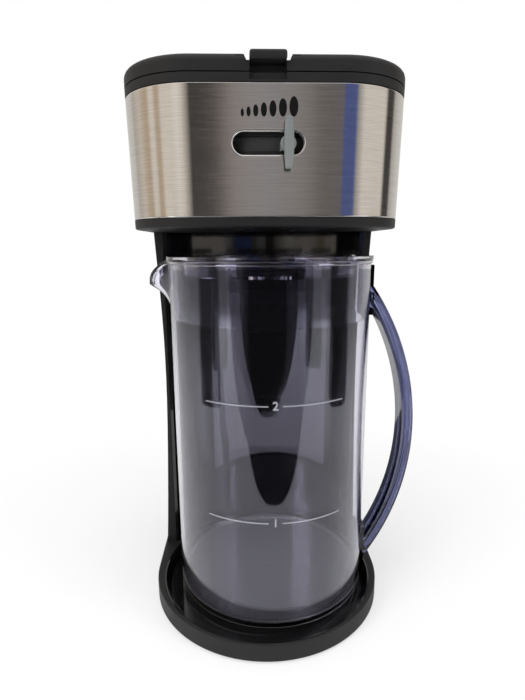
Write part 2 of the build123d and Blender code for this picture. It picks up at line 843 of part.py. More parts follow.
def barrel(side, start, length, radius, mode=Mode.ADD):
    """Cylinder along X on the hinge axis, on one side of the middle."""
    side_cylinder(side * start, hinge_y, hinge_z, radius, side * length, mode)


with BuildPart() as top_trim:
    head_block(0, steel_top, trim_top)
    fillet(top_trim.faces().sort_by(Axis.Z)[-1].edges(), trim_fillet)
    head_block(shell_inset + head_wall + trim_fit, steel_top - overcut, trim_top + overcut, mode=Mode.SUBTRACT)
    block((-tab_width / 2, tab_width / 2), (head_front - overcut, head_front + trim_notch),
          (steel_top + trim_notch_sill, trim_top + overcut), mode=Mode.SUBTRACT)
    for side, start in lug_places:
        barrel(side, start, lug_length, knuckle_radius)
        block(sorted((side * start, side * (start + lug_length))), (lid_back + lug_sill, hinge_y),
              (steel_top + lug_sill, hinge_z))
        barrel(side, start - overcut, lug_length + 2 * overcut, hinge_pin_radius + running_fit, Mode.SUBTRACT)
finish("top_trim", top_trim)

# Lid: a shallow shell with a thumb tab between two notches, and hinge knuckles
lid_half = head_half(trim_top)


def lid_plan(inset, height):
    """Outline of the lid at a height."""
    front = head_front + inset
    rear = lid_back - inset
    with BuildSketch(Plane.XY.offset(height)) as outline:
        with Locations((0, (front + rear) / 2)):
            RectangleRounded(2 * (lid_half - inset), rear - front, head_corner - inset)
    return outline.sketch


tab_half = tab_width / 2
notch_outer = tab_half + tab_slot_width
notch_end = head_front + tab_slot_length
tab_front = head_front - tab_reach
with BuildPart() as brew_lid:
    extrude(lid_plan(0, lid_bottom), amount=lid_top - lid_bottom)
    fillet(brew_lid.faces().sort_by(Axis.Z)[-1].edges(), lid_edge_fillet)
    extrude(lid_plan(lid_wall, lid_bottom), amount=lid_top - lid_wall - lid_bottom, mode=Mode.SUBTRACT)
    block((-notch_outer - lid_wall, notch_outer + lid_wall), (head_front + lid_wall / 2, notch_end + lid_wall),
          (lid_bottom, lid_top - lid_wall / 2))
    for side in (-1, 1):
        block(sorted((side * tab_half, side * notch_outer)), (head_front - overcut, notch_end),
              (tab_bottom - tab_slot_sill, lid_top + overcut), mode=Mode.SUBTRACT)
    block((-tab_half, tab_half), (head_front - overcut, head_front + tab_pocket_depth),
          (lid_bottom - overcut, lid_top + overcut), mode=Mode.SUBTRACT)
    block((-tab_half, tab_half), (tab_front, notch_end), (tab_bottom, tab_top))
    for side in (-1, 1):
        barrel(side, knuckle_start, knuckle_length, knuckle_radius)
        block(sorted((side * knuckle_start, side * (knuckle_start + knuckle_length))),
              (lid_back - lid_wall, hinge_y), (lid_bottom, hinge_z + hinge_pin_radius))
        barrel(side, knuckle_start - overcut, knuckle_length + 2 * overcut, hinge_pin_radius + running_fit,
               Mode.SUBTRACT)
    lip = brew_lid.edges().filter_by(Axis.X).group_by(Axis.Y)[0]
    fillet(lip, tab_lip_fillet)
finish("brew_lid", brew_lid)

# Splash plate fixed under the lid
liner_top = lid_top - lid_wall
liner_front = notch_end + lid_wall + liner_front_margin
liner_rear = lid_back - liner_back_margin
with BuildPart() as lid_liner:
    with BuildSketch(Plane.XY.offset(liner_top - liner_thickness)):
        with Locations((0, (liner_front + liner_rear) / 2)):
            RectangleRounded(2 * (lid_half - liner_side_margin), liner_rear - liner_front, liner_corner)
    extrude(amount=liner_thickness)
finish("lid_liner", lid_liner)

with BuildPart() as lid_hinge_pins:
    for side in (-1, 1):
        barrel(side, lug_starts[0], knuckle_length + 2 * (lug_length + moving_gap), hinge_pin_radius)
finish("lid_hinge_pins", lid_hinge_pins)

# Seven ovals on the steel, growing to the right
with BuildPart() as strength_marks:
    with BuildSketch(front_plane):
        reach = mark_start
        for number in range(mark_count):
            wide = mark_first_width + number * mark_width_step
            tall = mark_first_height + number * mark_height_step
            with Locations((reach + wide / 2, slot_middle + mark_above_slot + tall / 2)):
                Ellipse(wide / 2, tall / 2)
            reach += wide + mark_spacing
    extrude(amount=mark_thickness)
finish("strength_marks", strength_marks)

# Ring that turns in the well, and the lever on it
with BuildPart() as selector_ring:
    post(0, 0, ring_outer, ring_bottom + ring_seat, ring_bottom + ring_height)
    post(0, 0, ring_inner, ring_bottom, ring_bottom + ring_height + overcut, Mode.SUBTRACT)
    for number in range(ring_ports):
        turn = 360.0 * (number + 0.5) / ring_ports
        with BuildSketch(Plane.YZ.rotated((0, 0, turn))) as port:
            with Locations((0, ring_bottom + ring_height / 2)):
                Circle(ring_port_radius)
        extrude(port.sketch, amount=2 * ring_outer, mode=Mode.SUBTRACT)
finish("selector_ring", selector_ring)

with BuildPart() as selector_lever:
    block((-lever_stem_width / 2, lever_stem_width / 2),
          (-lever_blade_inner - lever_stem_bury, -ring_outer - running_fit),
          (slot_middle - lever_stem_height / 2, slot_middle + lever_stem_height / 2))
    with BuildSketch(Plane.XZ.offset(lever_blade_inner)):
        with BuildLine():
            tip = lever_tip_width / 2
            middle = lever_blade_width / 2
            low = slot_middle - lever_blade_low
            high = slot_middle + lever_blade_high
            Polyline((-tip, low), (tip, low), (middle, slot_middle), (tip, high), (-tip, high),
                     (-middle, slot_middle), close=True)
        make_face()
        fillet(vertices(), lever_blade_fillet)
        with Locations((0, slot_middle)):
            Circle(lever_hub_radius)
    extrude(amount=lever_blade_thickness)
    with BuildSketch(Plane.XZ.offset(lever_blade_inner + lever_blade_thickness)):
        with Locations((0, slot_middle)):
            Circle(lever_hub_radius)
            Circle(lever_hub_dimple, mode=Mode.SUBTRACT)
    extrude(amount=lever_hub_proud)
selector_lever.part = selector_lever.part.rotate(Axis.Z, lever_angle)
finish("selector_lever", selector_lever)

# Basket that hangs in the well by its flange
with BuildPart() as brew_basket:
    with BuildSketch(Plane.XZ):
        inner = basket_radius - basket_wall
        spout_bore = basket_outlet_radius - basket_wall
        flange_radius = well_inner + seat_on_deck
        throat = basket_floor - basket_floor_fall
        with BuildLine():
            Polyline(
                (spout_bore, basket_outlet_bottom), (basket_outlet_radius, basket_outlet_bottom),
                (basket_outlet_radius, throat), (basket_radius - basket_chamfer, basket_floor),
                (basket_radius, basket_floor + basket_chamfer), (basket_radius, steel_top),
                (flange_radius, steel_top), (flange_radius, basket_top), (inner, basket_top),
                (inner, basket_floor + basket_chamfer_inside),
                (basket_radius - basket_chamfer_inside, basket_floor + basket_wall),
                (spout_bore, throat + basket_wall), close=True)
        make_face()
    revolve(axis=Axis.Z)
finish("brew_basket", brew_basket)

# Permanent filter: frame with windows, and the mesh cup inside it
filter_bottom_radius = basket_radius - filter_bottom_inset
filter_top_radius = basket_radius - basket_wall - filter_top_gap
filter_rim_radius = filter_top_radius + filter_rim_reach
filter_rim_top = basket_top + filter_rim
with BuildPart() as filter_frame:
    with BuildSketch(Plane.XZ):
        with BuildLine():
            Polyline(
                (filter_bottom_radius - filter_ledge, filter_bottom), (filter_bottom_radius, filter_bottom),
                (filter_top_radius, basket_top), (filter_rim_radius, basket_top),
                (filter_rim_radius, filter_rim_top), (filter_top_radius - filter_rib, filter_rim_top),
                (filter_bottom_radius - filter_rib, filter_bottom + filter_rib),
                (filter_bottom_radius - filter_ledge, filter_bottom + filter_rib), close=True)
        make_face()
    revolve(axis=Axis.Z)
    window_width = 2 * filter_bottom_radius * sin(pi / filter_windows) - filter_window_rib
    window_tall = basket_top - filter_bottom - 2 * filter_window_margin
    for number in range(filter_windows):
        with BuildSketch(Plane.YZ.rotated((0, 0, 360.0 * number / filter_windows))) as window_face:
            with Locations((0, (filter_bottom + basket_top) / 2)):
                RectangleRounded(window_width, window_tall, filter_window_fillet)
        extrude(window_face.sketch, amount=2 * basket_radius, mode=Mode.SUBTRACT)
finish("filter_frame", filter_frame)

with BuildPart() as filter_mesh:
    low = filter_bottom + filter_rib
    mesh_top = basket_top - mesh_top_gap
    slope = (filter_top_radius - filter_bottom_radius) / (filter_rim_top - low)
    low_radius = filter_bottom_radius - filter_rib - mesh_gap
    high_radius = low_radius + slope * (mesh_top - low)
    with BuildSketch(Plane.XZ):
        with BuildLine():
            Polyline((0, low), (low_radius, low), (high_radius, mesh_top),
                     (high_radius - mesh_thickness, mesh_top),
                     (low_radius - mesh_thickness, low + mesh_thickness), (0, low + mesh_thickness), close=True)
        make_face()
    revolve(axis=Axis.Z)
finish("filter_mesh", filter_mesh)

# Pitcher
jug_plane = Plane(origin=(jug_x, 0, 0), x_dir=(1, 0, 0), z_dir=(0, -1, 0))
jug_axis = Axis((jug_x, 0, 0), (0, 0, 1))
spout_tip_z = jug_top - spout_tip_drop
spout_root_z = jug_top - spout_root_drop


def jug_outer(height):
    """Outside radius of the pitcher's wall at a height."""
    return jug_radius_bottom + jug_flare * (height - jug_foot) / jug_height


def spout_beak(growth, side_view):
    """Beak of the spout: a wedge in plan, cut to its side view."""
    tip = jug_x - spout_reach - growth
    root = jug_x - jug_outer(spout_root_z) + spout_overlap
    half = spout_half_width + growth
    tip_half = spout_tip_half_width + growth / 2
    with BuildPart() as beak:
        with BuildSketch(Plane.XY.offset(spout_root_z - spout_overlap)):
            with BuildLine():
                Polyline((root, -half), (tip + spout_tip_length, -tip_half), (tip, 0),
                         (tip + spout_tip_length, tip_half), (root, half), close=True)
            make_face()
        extrude(amount=spout_root_drop + 2 * spout_overlap)
        with BuildSketch(Plane.XZ):
            with BuildLine():
                Polyline(*side_view, close=True)
            make_face()
        extrude(amount=2 * spout_half_width, both=True, mode=Mode.INTERSECT)
    return beak.part


tip_x = jug_x - spout_reach
wall_x = jug_x - jug_radius_top
spout_outside = [(wall_x + spout_overlap, spout_root_z), (wall_x, spout_root_z), (tip_x, spout_tip_z),
                 (tip_x + spout_tip_half_width / 2, spout_tip_z + spout_tip_height),
                 (wall_x - jug_bead, jug_top), (wall_x + spout_overlap, jug_top)]
inside_tip_x = tip_x - spout_wall
spout_inside = [(wall_x + 2 * spout_overlap, spout_root_z + 2 * spout_wall),
                (wall_x, spout_root_z + 2 * spout_wall), (inside_tip_x, spout_tip_z + jug_bead / 2),
                (inside_tip_x, jug_top + spout_overlap), (wall_x + 2 * spout_overlap, jug_top + spout_overlap)]
beak_outside = spout_beak(0, spout_outside)
beak_inside = spout_beak(-spout_wall, spout_inside)

inner_bottom = jug_radius_bottom - jug_wall
inner_top = jug_radius_top - jug_wall
bead_low = jug_top - jug_bead_height
bead_radius = jug_radius_top + jug_bead
with BuildPart() as pitcher_jug:
    with BuildSketch(jug_plane):
        with BuildLine():
            Polyline(
                (0, jug_foot), (jug_radius_bottom, jug_foot), (jug_outer(bead_low), bead_low),
                (bead_radius, bead_low + jug_bead_slope), (bead_radius, jug_top - jug_bead_slope),
                (bead_radius - jug_bead_slope, jug_top), (inner_top, jug_top),
                (inner_bottom, jug_foot + jug_floor), (0, jug_foot + jug_floor), close=True)
        make_face()
        outside_corner = vertices().sort_by_distance((jug_radius_bottom, jug_foot))[0]
        inside_corner = vertices().sort_by_distance((inner_bottom, jug_foot + jug_floor))[0]
        fillet(outside_corner, jug_edge_fillet)
        fillet(inside_corner, jug_inner_fillet)
    revolve(axis=jug_axis)
    add(beak_outside)
    with BuildSketch(jug_plane):
        with BuildLine():
            clear_z = spout_root_z - spout_overlap
            Polyline((0, clear_z), (jug_outer(clear_z) - jug_wall, clear_z), (inner_top, jug_top), (0, jug_top),
                     close=True)
        make_face()
    revolve(axis=jug_axis, mode=Mode.SUBTRACT)
    add(beak_inside, mode=Mode.SUBTRACT)
finish("pitcher_jug", pitcher_jug)

# Handle: curved I-section between two pads that hug the wall
handle_middle = (jug_x + jug_radius_top + handle_reach - handle_outer, (jug_foot + jug_top) / 2 - handle_drop)
handle_low = jug_foot + handle_pad_foot_gap
handle_high = jug_top - handle_pad_rim_gap
hug = jug_radius_top + handle_glue
far = 4 * handle_outer
with BuildPart() as pitcher_handle:
    with BuildSketch(Plane.XZ):
        with Locations(handle_middle):
            Circle(handle_outer)
            Circle(handle_outer - handle_depth, mode=Mode.SUBTRACT)
        with Locations((jug_x + hug - handle_root + far / 2, (handle_low + handle_high) / 2)):
            Rectangle(far, handle_high - handle_low, mode=Mode.INTERSECT)
    extrude(amount=handle_half_width, both=True)
    for side in (-1, 1):
        with BuildSketch(Plane.XZ.offset(side * handle_web / 2)):
            with Locations(handle_middle):
                Circle(handle_outer - handle_flange)
                Circle(handle_outer - handle_depth + handle_flange, mode=Mode.SUBTRACT)
            with Locations((jug_x + hug + handle_pad + far / 2, handle_middle[1])):
                Rectangle(far, far, mode=Mode.INTERSECT)
        extrude(amount=side * handle_half_width, mode=Mode.SUBTRACT)
    for low in (handle_low, handle_high - handle_pad_length):
        with BuildSketch(Plane.XY.offset(low)):
            with Locations((jug_x, 0)):
                Circle(hug + handle_pad)
            with Locations((jug_x + far / 2, 0)):
                Rectangle(far, 2 * handle_half_width, mode=Mode.INTERSECT)
        extrude(amount=handle_pad_length)
    post(jug_x, 0, hug, jug_foot - overcut, jug_top + overcut, Mode.SUBTRACT)
finish("pitcher_handle", pitcher_handle)

# Two raised level lines on the front of the wall
with BuildPart() as pitcher_marks:
    for level in (mark_low_level, mark_high_level):
        start = jug_outer(jug_foot + level) + mark_glue
        depth = 2 * start
        spread = depth * tan(radians(mark_half_angle))
        with BuildSketch(Plane.XY.offset(jug_foot + level)):
            with Locations((jug_x, 0)):
                Circle(start + mark_proud)
                Circle(start, mode=Mode.SUBTRACT)
            with BuildLine():
                Polyline((jug_x, 0), (jug_x - spread, -depth), (jug_x + spread, -depth), close=True)
            make_face(mode=Mode.INTERSECT)
        extrude(amount=mark_height)
finish("pitcher_marks", pitcher_marks)

# Pitcher lid: flange on the rim, deep collar, sunk well with a drip hole and two finger bars
cover_radius = bead_radius + cover_overhang
cover_low = jug_top + cover_seat
cover_top = cover_low + cover_thickness
cover_floor = cover_top - cover_well_depth
cover_collar_bottom = cover_low - cover_collar_depth
collar = inner_top - moving_gap
collar_inner = collar - cover_collar_wall
cover_well_radius = collar_inner - cover_well_inset
with BuildPart() as pitcher_lid:
    with BuildSketch(jug_plane):
        with BuildLine():
            Polyline(
                (cover_hole_radius, cover_floor), (cover_well_radius - cover_well_slope, cover_floor),
                (cover_well_radius, cover_top), (cover_radius, cover_top), (cover_radius, cover_low),
                (collar, cover_low), (collar, cover_collar_bottom), (collar_inner, cover_collar_bottom),
                (collar_inner, cover_low), (cover_well_radius + cover_well_wall, cover_low),
                (cover_well_radius + cover_well_wall - cover_well_slope, cover_floor - cover_well_wall),
                (cover_hole_radius, cover_floor - cover_well_wall), close=True)
        make_face()
    revolve(axis=jug_axis)
    for side in (-1, 1):
        ends = sorted((jug_x + side * (cover_hole_radius + cover_bar_gap),
                       jug_x + side * (cover_well_radius + cover_well_wall / 2)))
        block(ends, (-cover_bar_width / 2, cover_bar_width / 2),
              (cover_floor - overcut, cover_top - cover_bar_drop))
    for number in range(cover_slots):
        turn = radians((2 * number / (cover_slots - 1) - 1) * cover_window_half_angle)
        slit = Plane(origin=(jug_x, 0, 0), x_dir=(sin(turn), cos(turn), 0), z_dir=(-cos(turn), sin(turn), 0))
        with BuildSketch(slit.offset(collar_inner - cover_well_inset / 2)) as slit_face:
            with Locations((0, (cover_collar_bottom + cover_low) / 2)):
                Rectangle(cover_slot_width, cover_collar_depth - 2 * cover_slot_margin)
        extrude(slit_face.sketch, amount=cover_well_inset, mode=Mode.SUBTRACT)
finish("pitcher_lid", pitcher_lid)

# Water tank, open at the top, with its outlet
outlet_end = reservoir_bottom - outlet_pipe_length
with BuildPart() as water_reservoir:
    with BuildSketch(Plane.XY.offset(reservoir_bottom)):
        reservoir_plan(0)
    extrude(amount=deck_underside - assembly_gap - reservoir_bottom)
    with BuildSketch(Plane.XY.offset(reservoir_bottom + reservoir_wall)):
        reservoir_plan(reservoir_wall)
    extrude(amount=deck_underside - reservoir_bottom, mode=Mode.SUBTRACT)
    post(-pipe_x, pipe_y, pipe_radius, outlet_end, reservoir_bottom)
    post(-pipe_x, pipe_y, pipe_radius - pipe_wall, outlet_end - overcut,
         reservoir_bottom + reservoir_wall + overcut, Mode.SUBTRACT)
finish("water_reservoir", water_reservoir)


def heater_route(y, extra):
    """Corner points of the U that the heater and its tubes follow."""
    top = heater_top + extra
    return [(-pipe_x, y, top), (-pipe_x, y, heater_bottom), (pipe_x, y, heater_bottom), (pipe_x, y, top)]


# Heater: a cast body round the water tube and the sheathed element
with BuildPart() as heater_casting:
    with BuildLine() as spine:
        FilletPolyline(*heater_route(heater_y, 0), radius=heater_bend)
    with BuildSketch(Plane(origin=spine.line @ 0, x_dir=(0, 1, 0), z_dir=(0, 0, -1))):
        RectangleRounded(heater_depth, 2 * heater_half_width, heater_corner)
    sweep(path=spine.line)
    for y, radius in ((pipe_y, pipe_radius), (element_y, element_radius)):
        with BuildLine() as channel:
            FilletPolyline(*heater_route(y, overcut), radius=heater_bend)
        with BuildSketch(Plane(origin=channel.line @ 0, x_dir=(0, 1, 0), z_dir=(0, 0, -1))) as bore_face:
            Circle(radius + running_fit)
        sweep(bore_face.sketch, path=channel.line, mode=Mode.SUBTRACT)
finish("heater_casting", heater_casting)

with BuildPart() as heater_water_tube:
    swept_tube(heater_route(pipe_y, pipe_stub), heater_bend, pipe_radius, pipe_radius - pipe_wall)
finish("heater_water_tube", heater_water_tube)

element_top = heater_top + element_end
with BuildPart() as heating_element:
    swept_tube(heater_route(element_y, element_end), heater_bend, element_radius)
    for side in (-1, 1):
        post(side * pipe_x, element_y, element_pin_radius, element_top, element_top + element_pin_length)
finish("heating_element", heating_element)

valve_end = valve_half_height + valve_stub
with BuildPart() as check_valve:
    post(-pipe_x, pipe_y, pipe_radius, valve_middle - valve_end, valve_middle + valve_end)
    post(-pipe_x, pipe_y, valve_radius, valve_middle - valve_half_height, valve_middle + valve_half_height)
    post(-pipe_x, pipe_y, pipe_radius - pipe_wall, valve_middle - valve_end - overcut,
         valve_middle + valve_end + overcut, Mode.SUBTRACT)
    chamber = valve_half_height - valve_wall_end
    post(-pipe_x, pipe_y, valve_radius - valve_wall_side, valve_middle - chamber, valve_middle + chamber,
         Mode.SUBTRACT)
finish("check_valve", check_valve)

tube_end = heater_top + pipe_stub
hose_start = tube_end - hose_overlap
inlet_spans = [(hose_start, valve_middle - valve_half_height - overcut),
               (valve_middle + valve_half_height + overcut, reservoir_bottom - hose_end_gap)]
riser_span = (hose_start, deck_underside - riser_end_gap)
with BuildPart() as inlet_hose:
    for low, high in inlet_spans:
        post(-pipe_x, pipe_y, hose_outer, low, high)
        post(-pipe_x, pipe_y, pipe_radius + running_fit, low - overcut, high + overcut, Mode.SUBTRACT)
finish("inlet_hose", inlet_hose)

with BuildPart() as riser_hose:
    post(pipe_x, pipe_y, hose_outer, *riser_span)
    post(pipe_x, pipe_y, pipe_radius + running_fit, riser_span[0] - overcut, riser_span[1] + overcut,
         Mode.SUBTRACT)
finish("riser_hose", riser_hose)

clamped_hoses = [(-pipe_x, *span) for span in inlet_spans] + [(pipe_x, *riser_span)]
clamp_places = [(x, level) for x, low, high in clamped_hoses
                for level in (low + clamp_start, high - clamp_end)]
clamp_outer = hose_outer + clamp_wall
with BuildPart() as hose_clamps:
    for x, low in clamp_places:
        post(x, pipe_y, clamp_outer, low, low + clamp_height)
        block((x - clamp_tail_width / 2, x + clamp_tail_width / 2),
              (pipe_y + hose_outer + assembly_gap, pipe_y + clamp_outer + clamp_tail), (low, low + clamp_height))
        post(x, pipe_y, hose_outer + running_fit, low - overcut, low + clamp_height + overcut, Mode.SUBTRACT)
finish("hose_clamps", hose_clamps)

spout_points = [(pipe_x, pipe_y, riser_span[1] - spout_pipe_plug), (pipe_x, pipe_y, spout_pipe_height),
                (0, spout_pipe_end, spout_pipe_height)]
with BuildPart() as water_spout:
    swept_tube(spout_points, spout_pipe_bend, pipe_radius, pipe_radius - pipe_wall)
finish("water_spout", water_spout)

saddle_x = pipe_x / 2
saddle_y = (spout_pipe_end + pipe_y) / 2
saddle_foot_top = steel_top + saddle_foot_height
with BuildPart() as spout_saddle:
    post(saddle_x, saddle_y, saddle_foot_radius, steel_top, saddle_foot_top)
    post(saddle_x, saddle_y, saddle_neck_radius, saddle_foot_top, spout_pipe_height - saddle_wrap)
    run = Plane(origin=(pipe_x, pipe_y, spout_pipe_height), z_dir=(-pipe_x, spout_pipe_end - pipe_y, 0))
    with BuildSketch(run) as run_face:
        Circle(pipe_radius + running_fit)
    extrude(run_face.sketch, amount=2 * pipe_y, mode=Mode.SUBTRACT)
finish("spout_saddle", spout_saddle)

# Bracket that holds the heater on the base deck
bracket_back = heater_back + bracket_thickness
bracket_foot_top = base_top + bracket_thickness
with BuildPart() as heater_bracket:
    block((-bracket_half_width, bracket_half_width), (heater_back, bracket_back),
          (base_top, base_top + bracket_height))
    for x, y in bracket_screw_places:
        block((x - bracket_foot_half_width, x + bracket_foot_half_width),
              (y - bracket_foot_front, bracket_back), (base_top, bracket_foot_top))
        post(x, y, screw_radius + assembly_gap, base_top - overcut, bracket_foot_top + overcut, Mode.SUBTRACT)
finish("heater_bracket", heater_bracket)

with BuildPart() as heater_screws:
    for x, y in bracket_screw_places:
        screw_up(x, y, -bracket_foot_top - screw_head_height, bracket_screw_length)
heater_screws.part = heater_screws.part.mirror(Plane.XY)
finish("heater_screws", heater_screws)

thermostat_face = -pipe_x - heater_half_width
thermostat_cap = thermostat_face - thermostat_depth
thermostat_end = thermostat_cap - thermostat_cap_depth
with BuildPart() as thermostat:
    side_cylinder(thermostat_face, heater_y, thermostat_height, thermostat_radius, -thermostat_depth)
    side_cylinder(thermostat_cap, heater_y, thermostat_height, thermostat_cap_radius, -thermostat_cap_depth)
    for side in (-1, 1):
        tab_y = heater_y + side * thermostat_tab_spread
        block((thermostat_end - thermostat_tab_length, thermostat_end + blade_thickness / 4),
              (tab_y - blade_thickness / 2, tab_y + blade_thickness / 2),
              (thermostat_height - thermostat_tab_width / 2, thermostat_height + thermostat_tab_width / 2))
finish("thermostat", thermostat)

fuse_x = pipe_x + heater_half_width + fuse_radius + running_fit
fuse_end = fuse_half_length + fuse_wire_length
with BuildPart() as thermal_fuses:
    for y in (heater_y - fuse_spread, heater_y + fuse_spread):
        post(fuse_x, y, fuse_radius, fuse_height - fuse_half_length, fuse_height + fuse_half_length)
        post(fuse_x, y, fuse_wire_radius, fuse_height - fuse_end, fuse_height + fuse_end)
finish("thermal_fuses", thermal_fuses)

terminal_y = base_back - terminal_back
terminal_top = base_top + terminal_height + terminal_tower_height
upper_half_width = terminal_half_width - terminal_step
upper_half_depth = terminal_depth / 2 - terminal_step
with BuildPart() as terminal_block:
    block((-terminal_half_width, terminal_half_width),
          (terminal_y - terminal_depth / 2, terminal_y + terminal_depth / 2),
          (base_top, base_top + terminal_height))
    block((-upper_half_width, upper_half_width),
          (terminal_y - upper_half_depth, terminal_y + upper_half_depth), (base_top + terminal_height, terminal_top))
    for step in (-1, 0, 1):
        post(step * terminal_pitch, terminal_y, terminal_well_radius, terminal_top - terminal_well_depth,
             terminal_top + overcut, Mode.SUBTRACT)
finish("terminal_block", terminal_block)

# Gland where the mains cord would enter
gland_start = base_back - wall - gland_inner_length
gland_end = base_back + gland_flange_thickness
with BuildPart() as cord_gland:
    for begin, end, radius in ((gland_start, base_back, gland_radius),
                               (base_back, gland_end, gland_radius + gland_flange)):
        with BuildSketch(Plane.XZ.offset(-begin)) as disc:
            with Locations((gland_x, gland_height)):
                Circle(radius)
        extrude(disc.sketch, amount=begin - end)
    with BuildSketch(Plane.XZ.offset(-gland_start + overcut)) as disc:
        with Locations((gland_x, gland_height)):
            Circle(gland_bore)
    extrude(disc.sketch, amount=gland_start - gland_end - 2 * overcut, mode=Mode.SUBTRACT)
finish("cord_gland", cord_gland)

# Rocker switch: housing with bezel, rocker on a pin
pivot_x = switch_face - rocker_pivot_depth
switch_back = switch_face - switch_depth
half_y = switch_width / 2
half_z = switch_length / 2
bezel_y = half_y + switch_bezel_reach
bezel_z = half_z + switch_bezel_reach
with BuildPart() as switch_housing:
    block((switch_back, switch_face), (switch_y - half_y, switch_y + half_y),
          (switch_height - half_z, switch_height + half_z))
    with BuildSketch(Plane.YZ.offset(switch_face)) as bezel_face:
        with Locations((switch_y, switch_height)):
            RectangleRounded(2 * bezel_y, 2 * bezel_z, switch_bezel_fillet)
    extrude(bezel_face.sketch, amount=switch_bezel)
    well_y = rocker_half_y + moving_gap
    well_z = rocker_half_z + rocker_end_gap
    block((pivot_x - rocker_well, switch_face + switch_bezel + overcut),
          (switch_y - well_y, switch_y + well_y), (switch_height - well_z, switch_height + well_z),
          mode=Mode.SUBTRACT)
    with BuildSketch(Plane.XZ.offset(-switch_y)) as pin_face:
        with Locations((pivot_x, switch_height)):
            Circle(rocker_pin_radius + running_fit)
    extrude(pin_face.sketch, amount=half_y - rocker_pin_end, both=True, mode=Mode.SUBTRACT)
    for side in (-1, 1):
        block((switch_back - switch_tab_length, switch_back),
              (switch_y - switch_tab_width / 2, switch_y + switch_tab_width / 2),
              sorted((switch_height + side * switch_tab_offset,
                      switch_height + side * (switch_tab_offset + switch_tab_thickness))))
finish("switch_housing", switch_housing)

with BuildPart() as rocker_button:
    with BuildSketch(Plane.XZ.offset(-switch_y)):
        low = switch_height - rocker_half_z
        high = switch_height + rocker_half_z
        with BuildLine():
            Polyline((pivot_x + rocker_edge_out, low), (pivot_x + rocker_middle_out, switch_height),
                     (pivot_x + rocker_edge_out, high), (pivot_x - rocker_edge_in, high),
                     (pivot_x - rocker_middle_in, switch_height), (pivot_x - rocker_edge_in, low), close=True)
        make_face()
        with Locations((pivot_x, switch_height)):
            Circle(rocker_pin_radius + running_fit, mode=Mode.SUBTRACT)
    extrude(amount=rocker_half_y, both=True)
rocker_axis = Axis((pivot_x, switch_y, switch_height), (0, 1, 0))
rocker_button.part = rocker_button.part.rotate(rocker_axis, rocker_throw / 2)
finish("rocker_button", rocker_button)

with BuildPart() as rocker_pin:
    with BuildSketch(Plane.XZ.offset(-switch_y)):
        with Locations((pivot_x, switch_height)):
            Circle(rocker_pin_radius)
    extrude(amount=half_y - rocker_pin_end - running_fit, both=True)
finish("rocker_pin", rocker_pin)
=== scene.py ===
import json
from math import cos, pi, radians, sin

import bmesh
import bpy
from mathutils import Matrix, Vector


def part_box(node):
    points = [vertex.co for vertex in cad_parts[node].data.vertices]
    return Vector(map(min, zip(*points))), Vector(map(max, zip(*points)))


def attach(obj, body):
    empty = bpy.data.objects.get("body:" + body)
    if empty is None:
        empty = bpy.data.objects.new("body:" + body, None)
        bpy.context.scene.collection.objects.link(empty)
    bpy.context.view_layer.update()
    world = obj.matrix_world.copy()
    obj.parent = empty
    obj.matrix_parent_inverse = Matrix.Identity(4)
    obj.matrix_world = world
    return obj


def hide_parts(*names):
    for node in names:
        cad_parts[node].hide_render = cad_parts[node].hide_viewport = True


bl_info = {
    "name": "Iced Tea Brewer",
    "version": (1, 0, 0),
    "blender": (4, 5, 0),
    "location": "3D View > Sidebar > Brewer",
    "description": "Detailed pieces, finishes and a studio for the brewer's solids",
    "category": "Object",
}

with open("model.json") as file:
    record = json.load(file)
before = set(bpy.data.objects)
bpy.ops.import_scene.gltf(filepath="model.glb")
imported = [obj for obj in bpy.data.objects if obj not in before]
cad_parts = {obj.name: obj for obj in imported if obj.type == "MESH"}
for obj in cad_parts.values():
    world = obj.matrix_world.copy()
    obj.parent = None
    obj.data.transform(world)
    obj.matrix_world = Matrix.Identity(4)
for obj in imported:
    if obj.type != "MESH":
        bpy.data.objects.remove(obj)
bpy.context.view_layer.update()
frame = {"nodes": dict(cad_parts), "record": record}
mm = 0.001

# Places that the frame and its record give, in metres
head_low, head_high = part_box("steel_band")
lid_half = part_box("brew_lid")[1][0]
ring_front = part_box("selector_ring")[0][1]
jug_low, jug_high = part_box("pitcher_jug")
joint_places = {joint["name"]: joint.get("pos_m") for joint in frame["record"]["behaviour"]["joints"]}
hinge_y, hinge_z = joint_places["lid_hinge"][1:]
jug_axis = tuple(joint_places["pitcher_lid_turn"][:2])


# Sizes and colours

def length(label, about, millimetres):
    """A length that the panel shows in the scene's unit."""
    return bpy.props.FloatProperty(name=label, description=about, default=millimetres * mm, min=0.0,
                                   unit="LENGTH", precision=5)


def colour(label, about, value):
    """A colour that the panel shows as a swatch."""
    return bpy.props.FloatVectorProperty(name=label, description=about, default=value, min=0.0, max=1.0,
                                         size=3, subtype="COLOR")


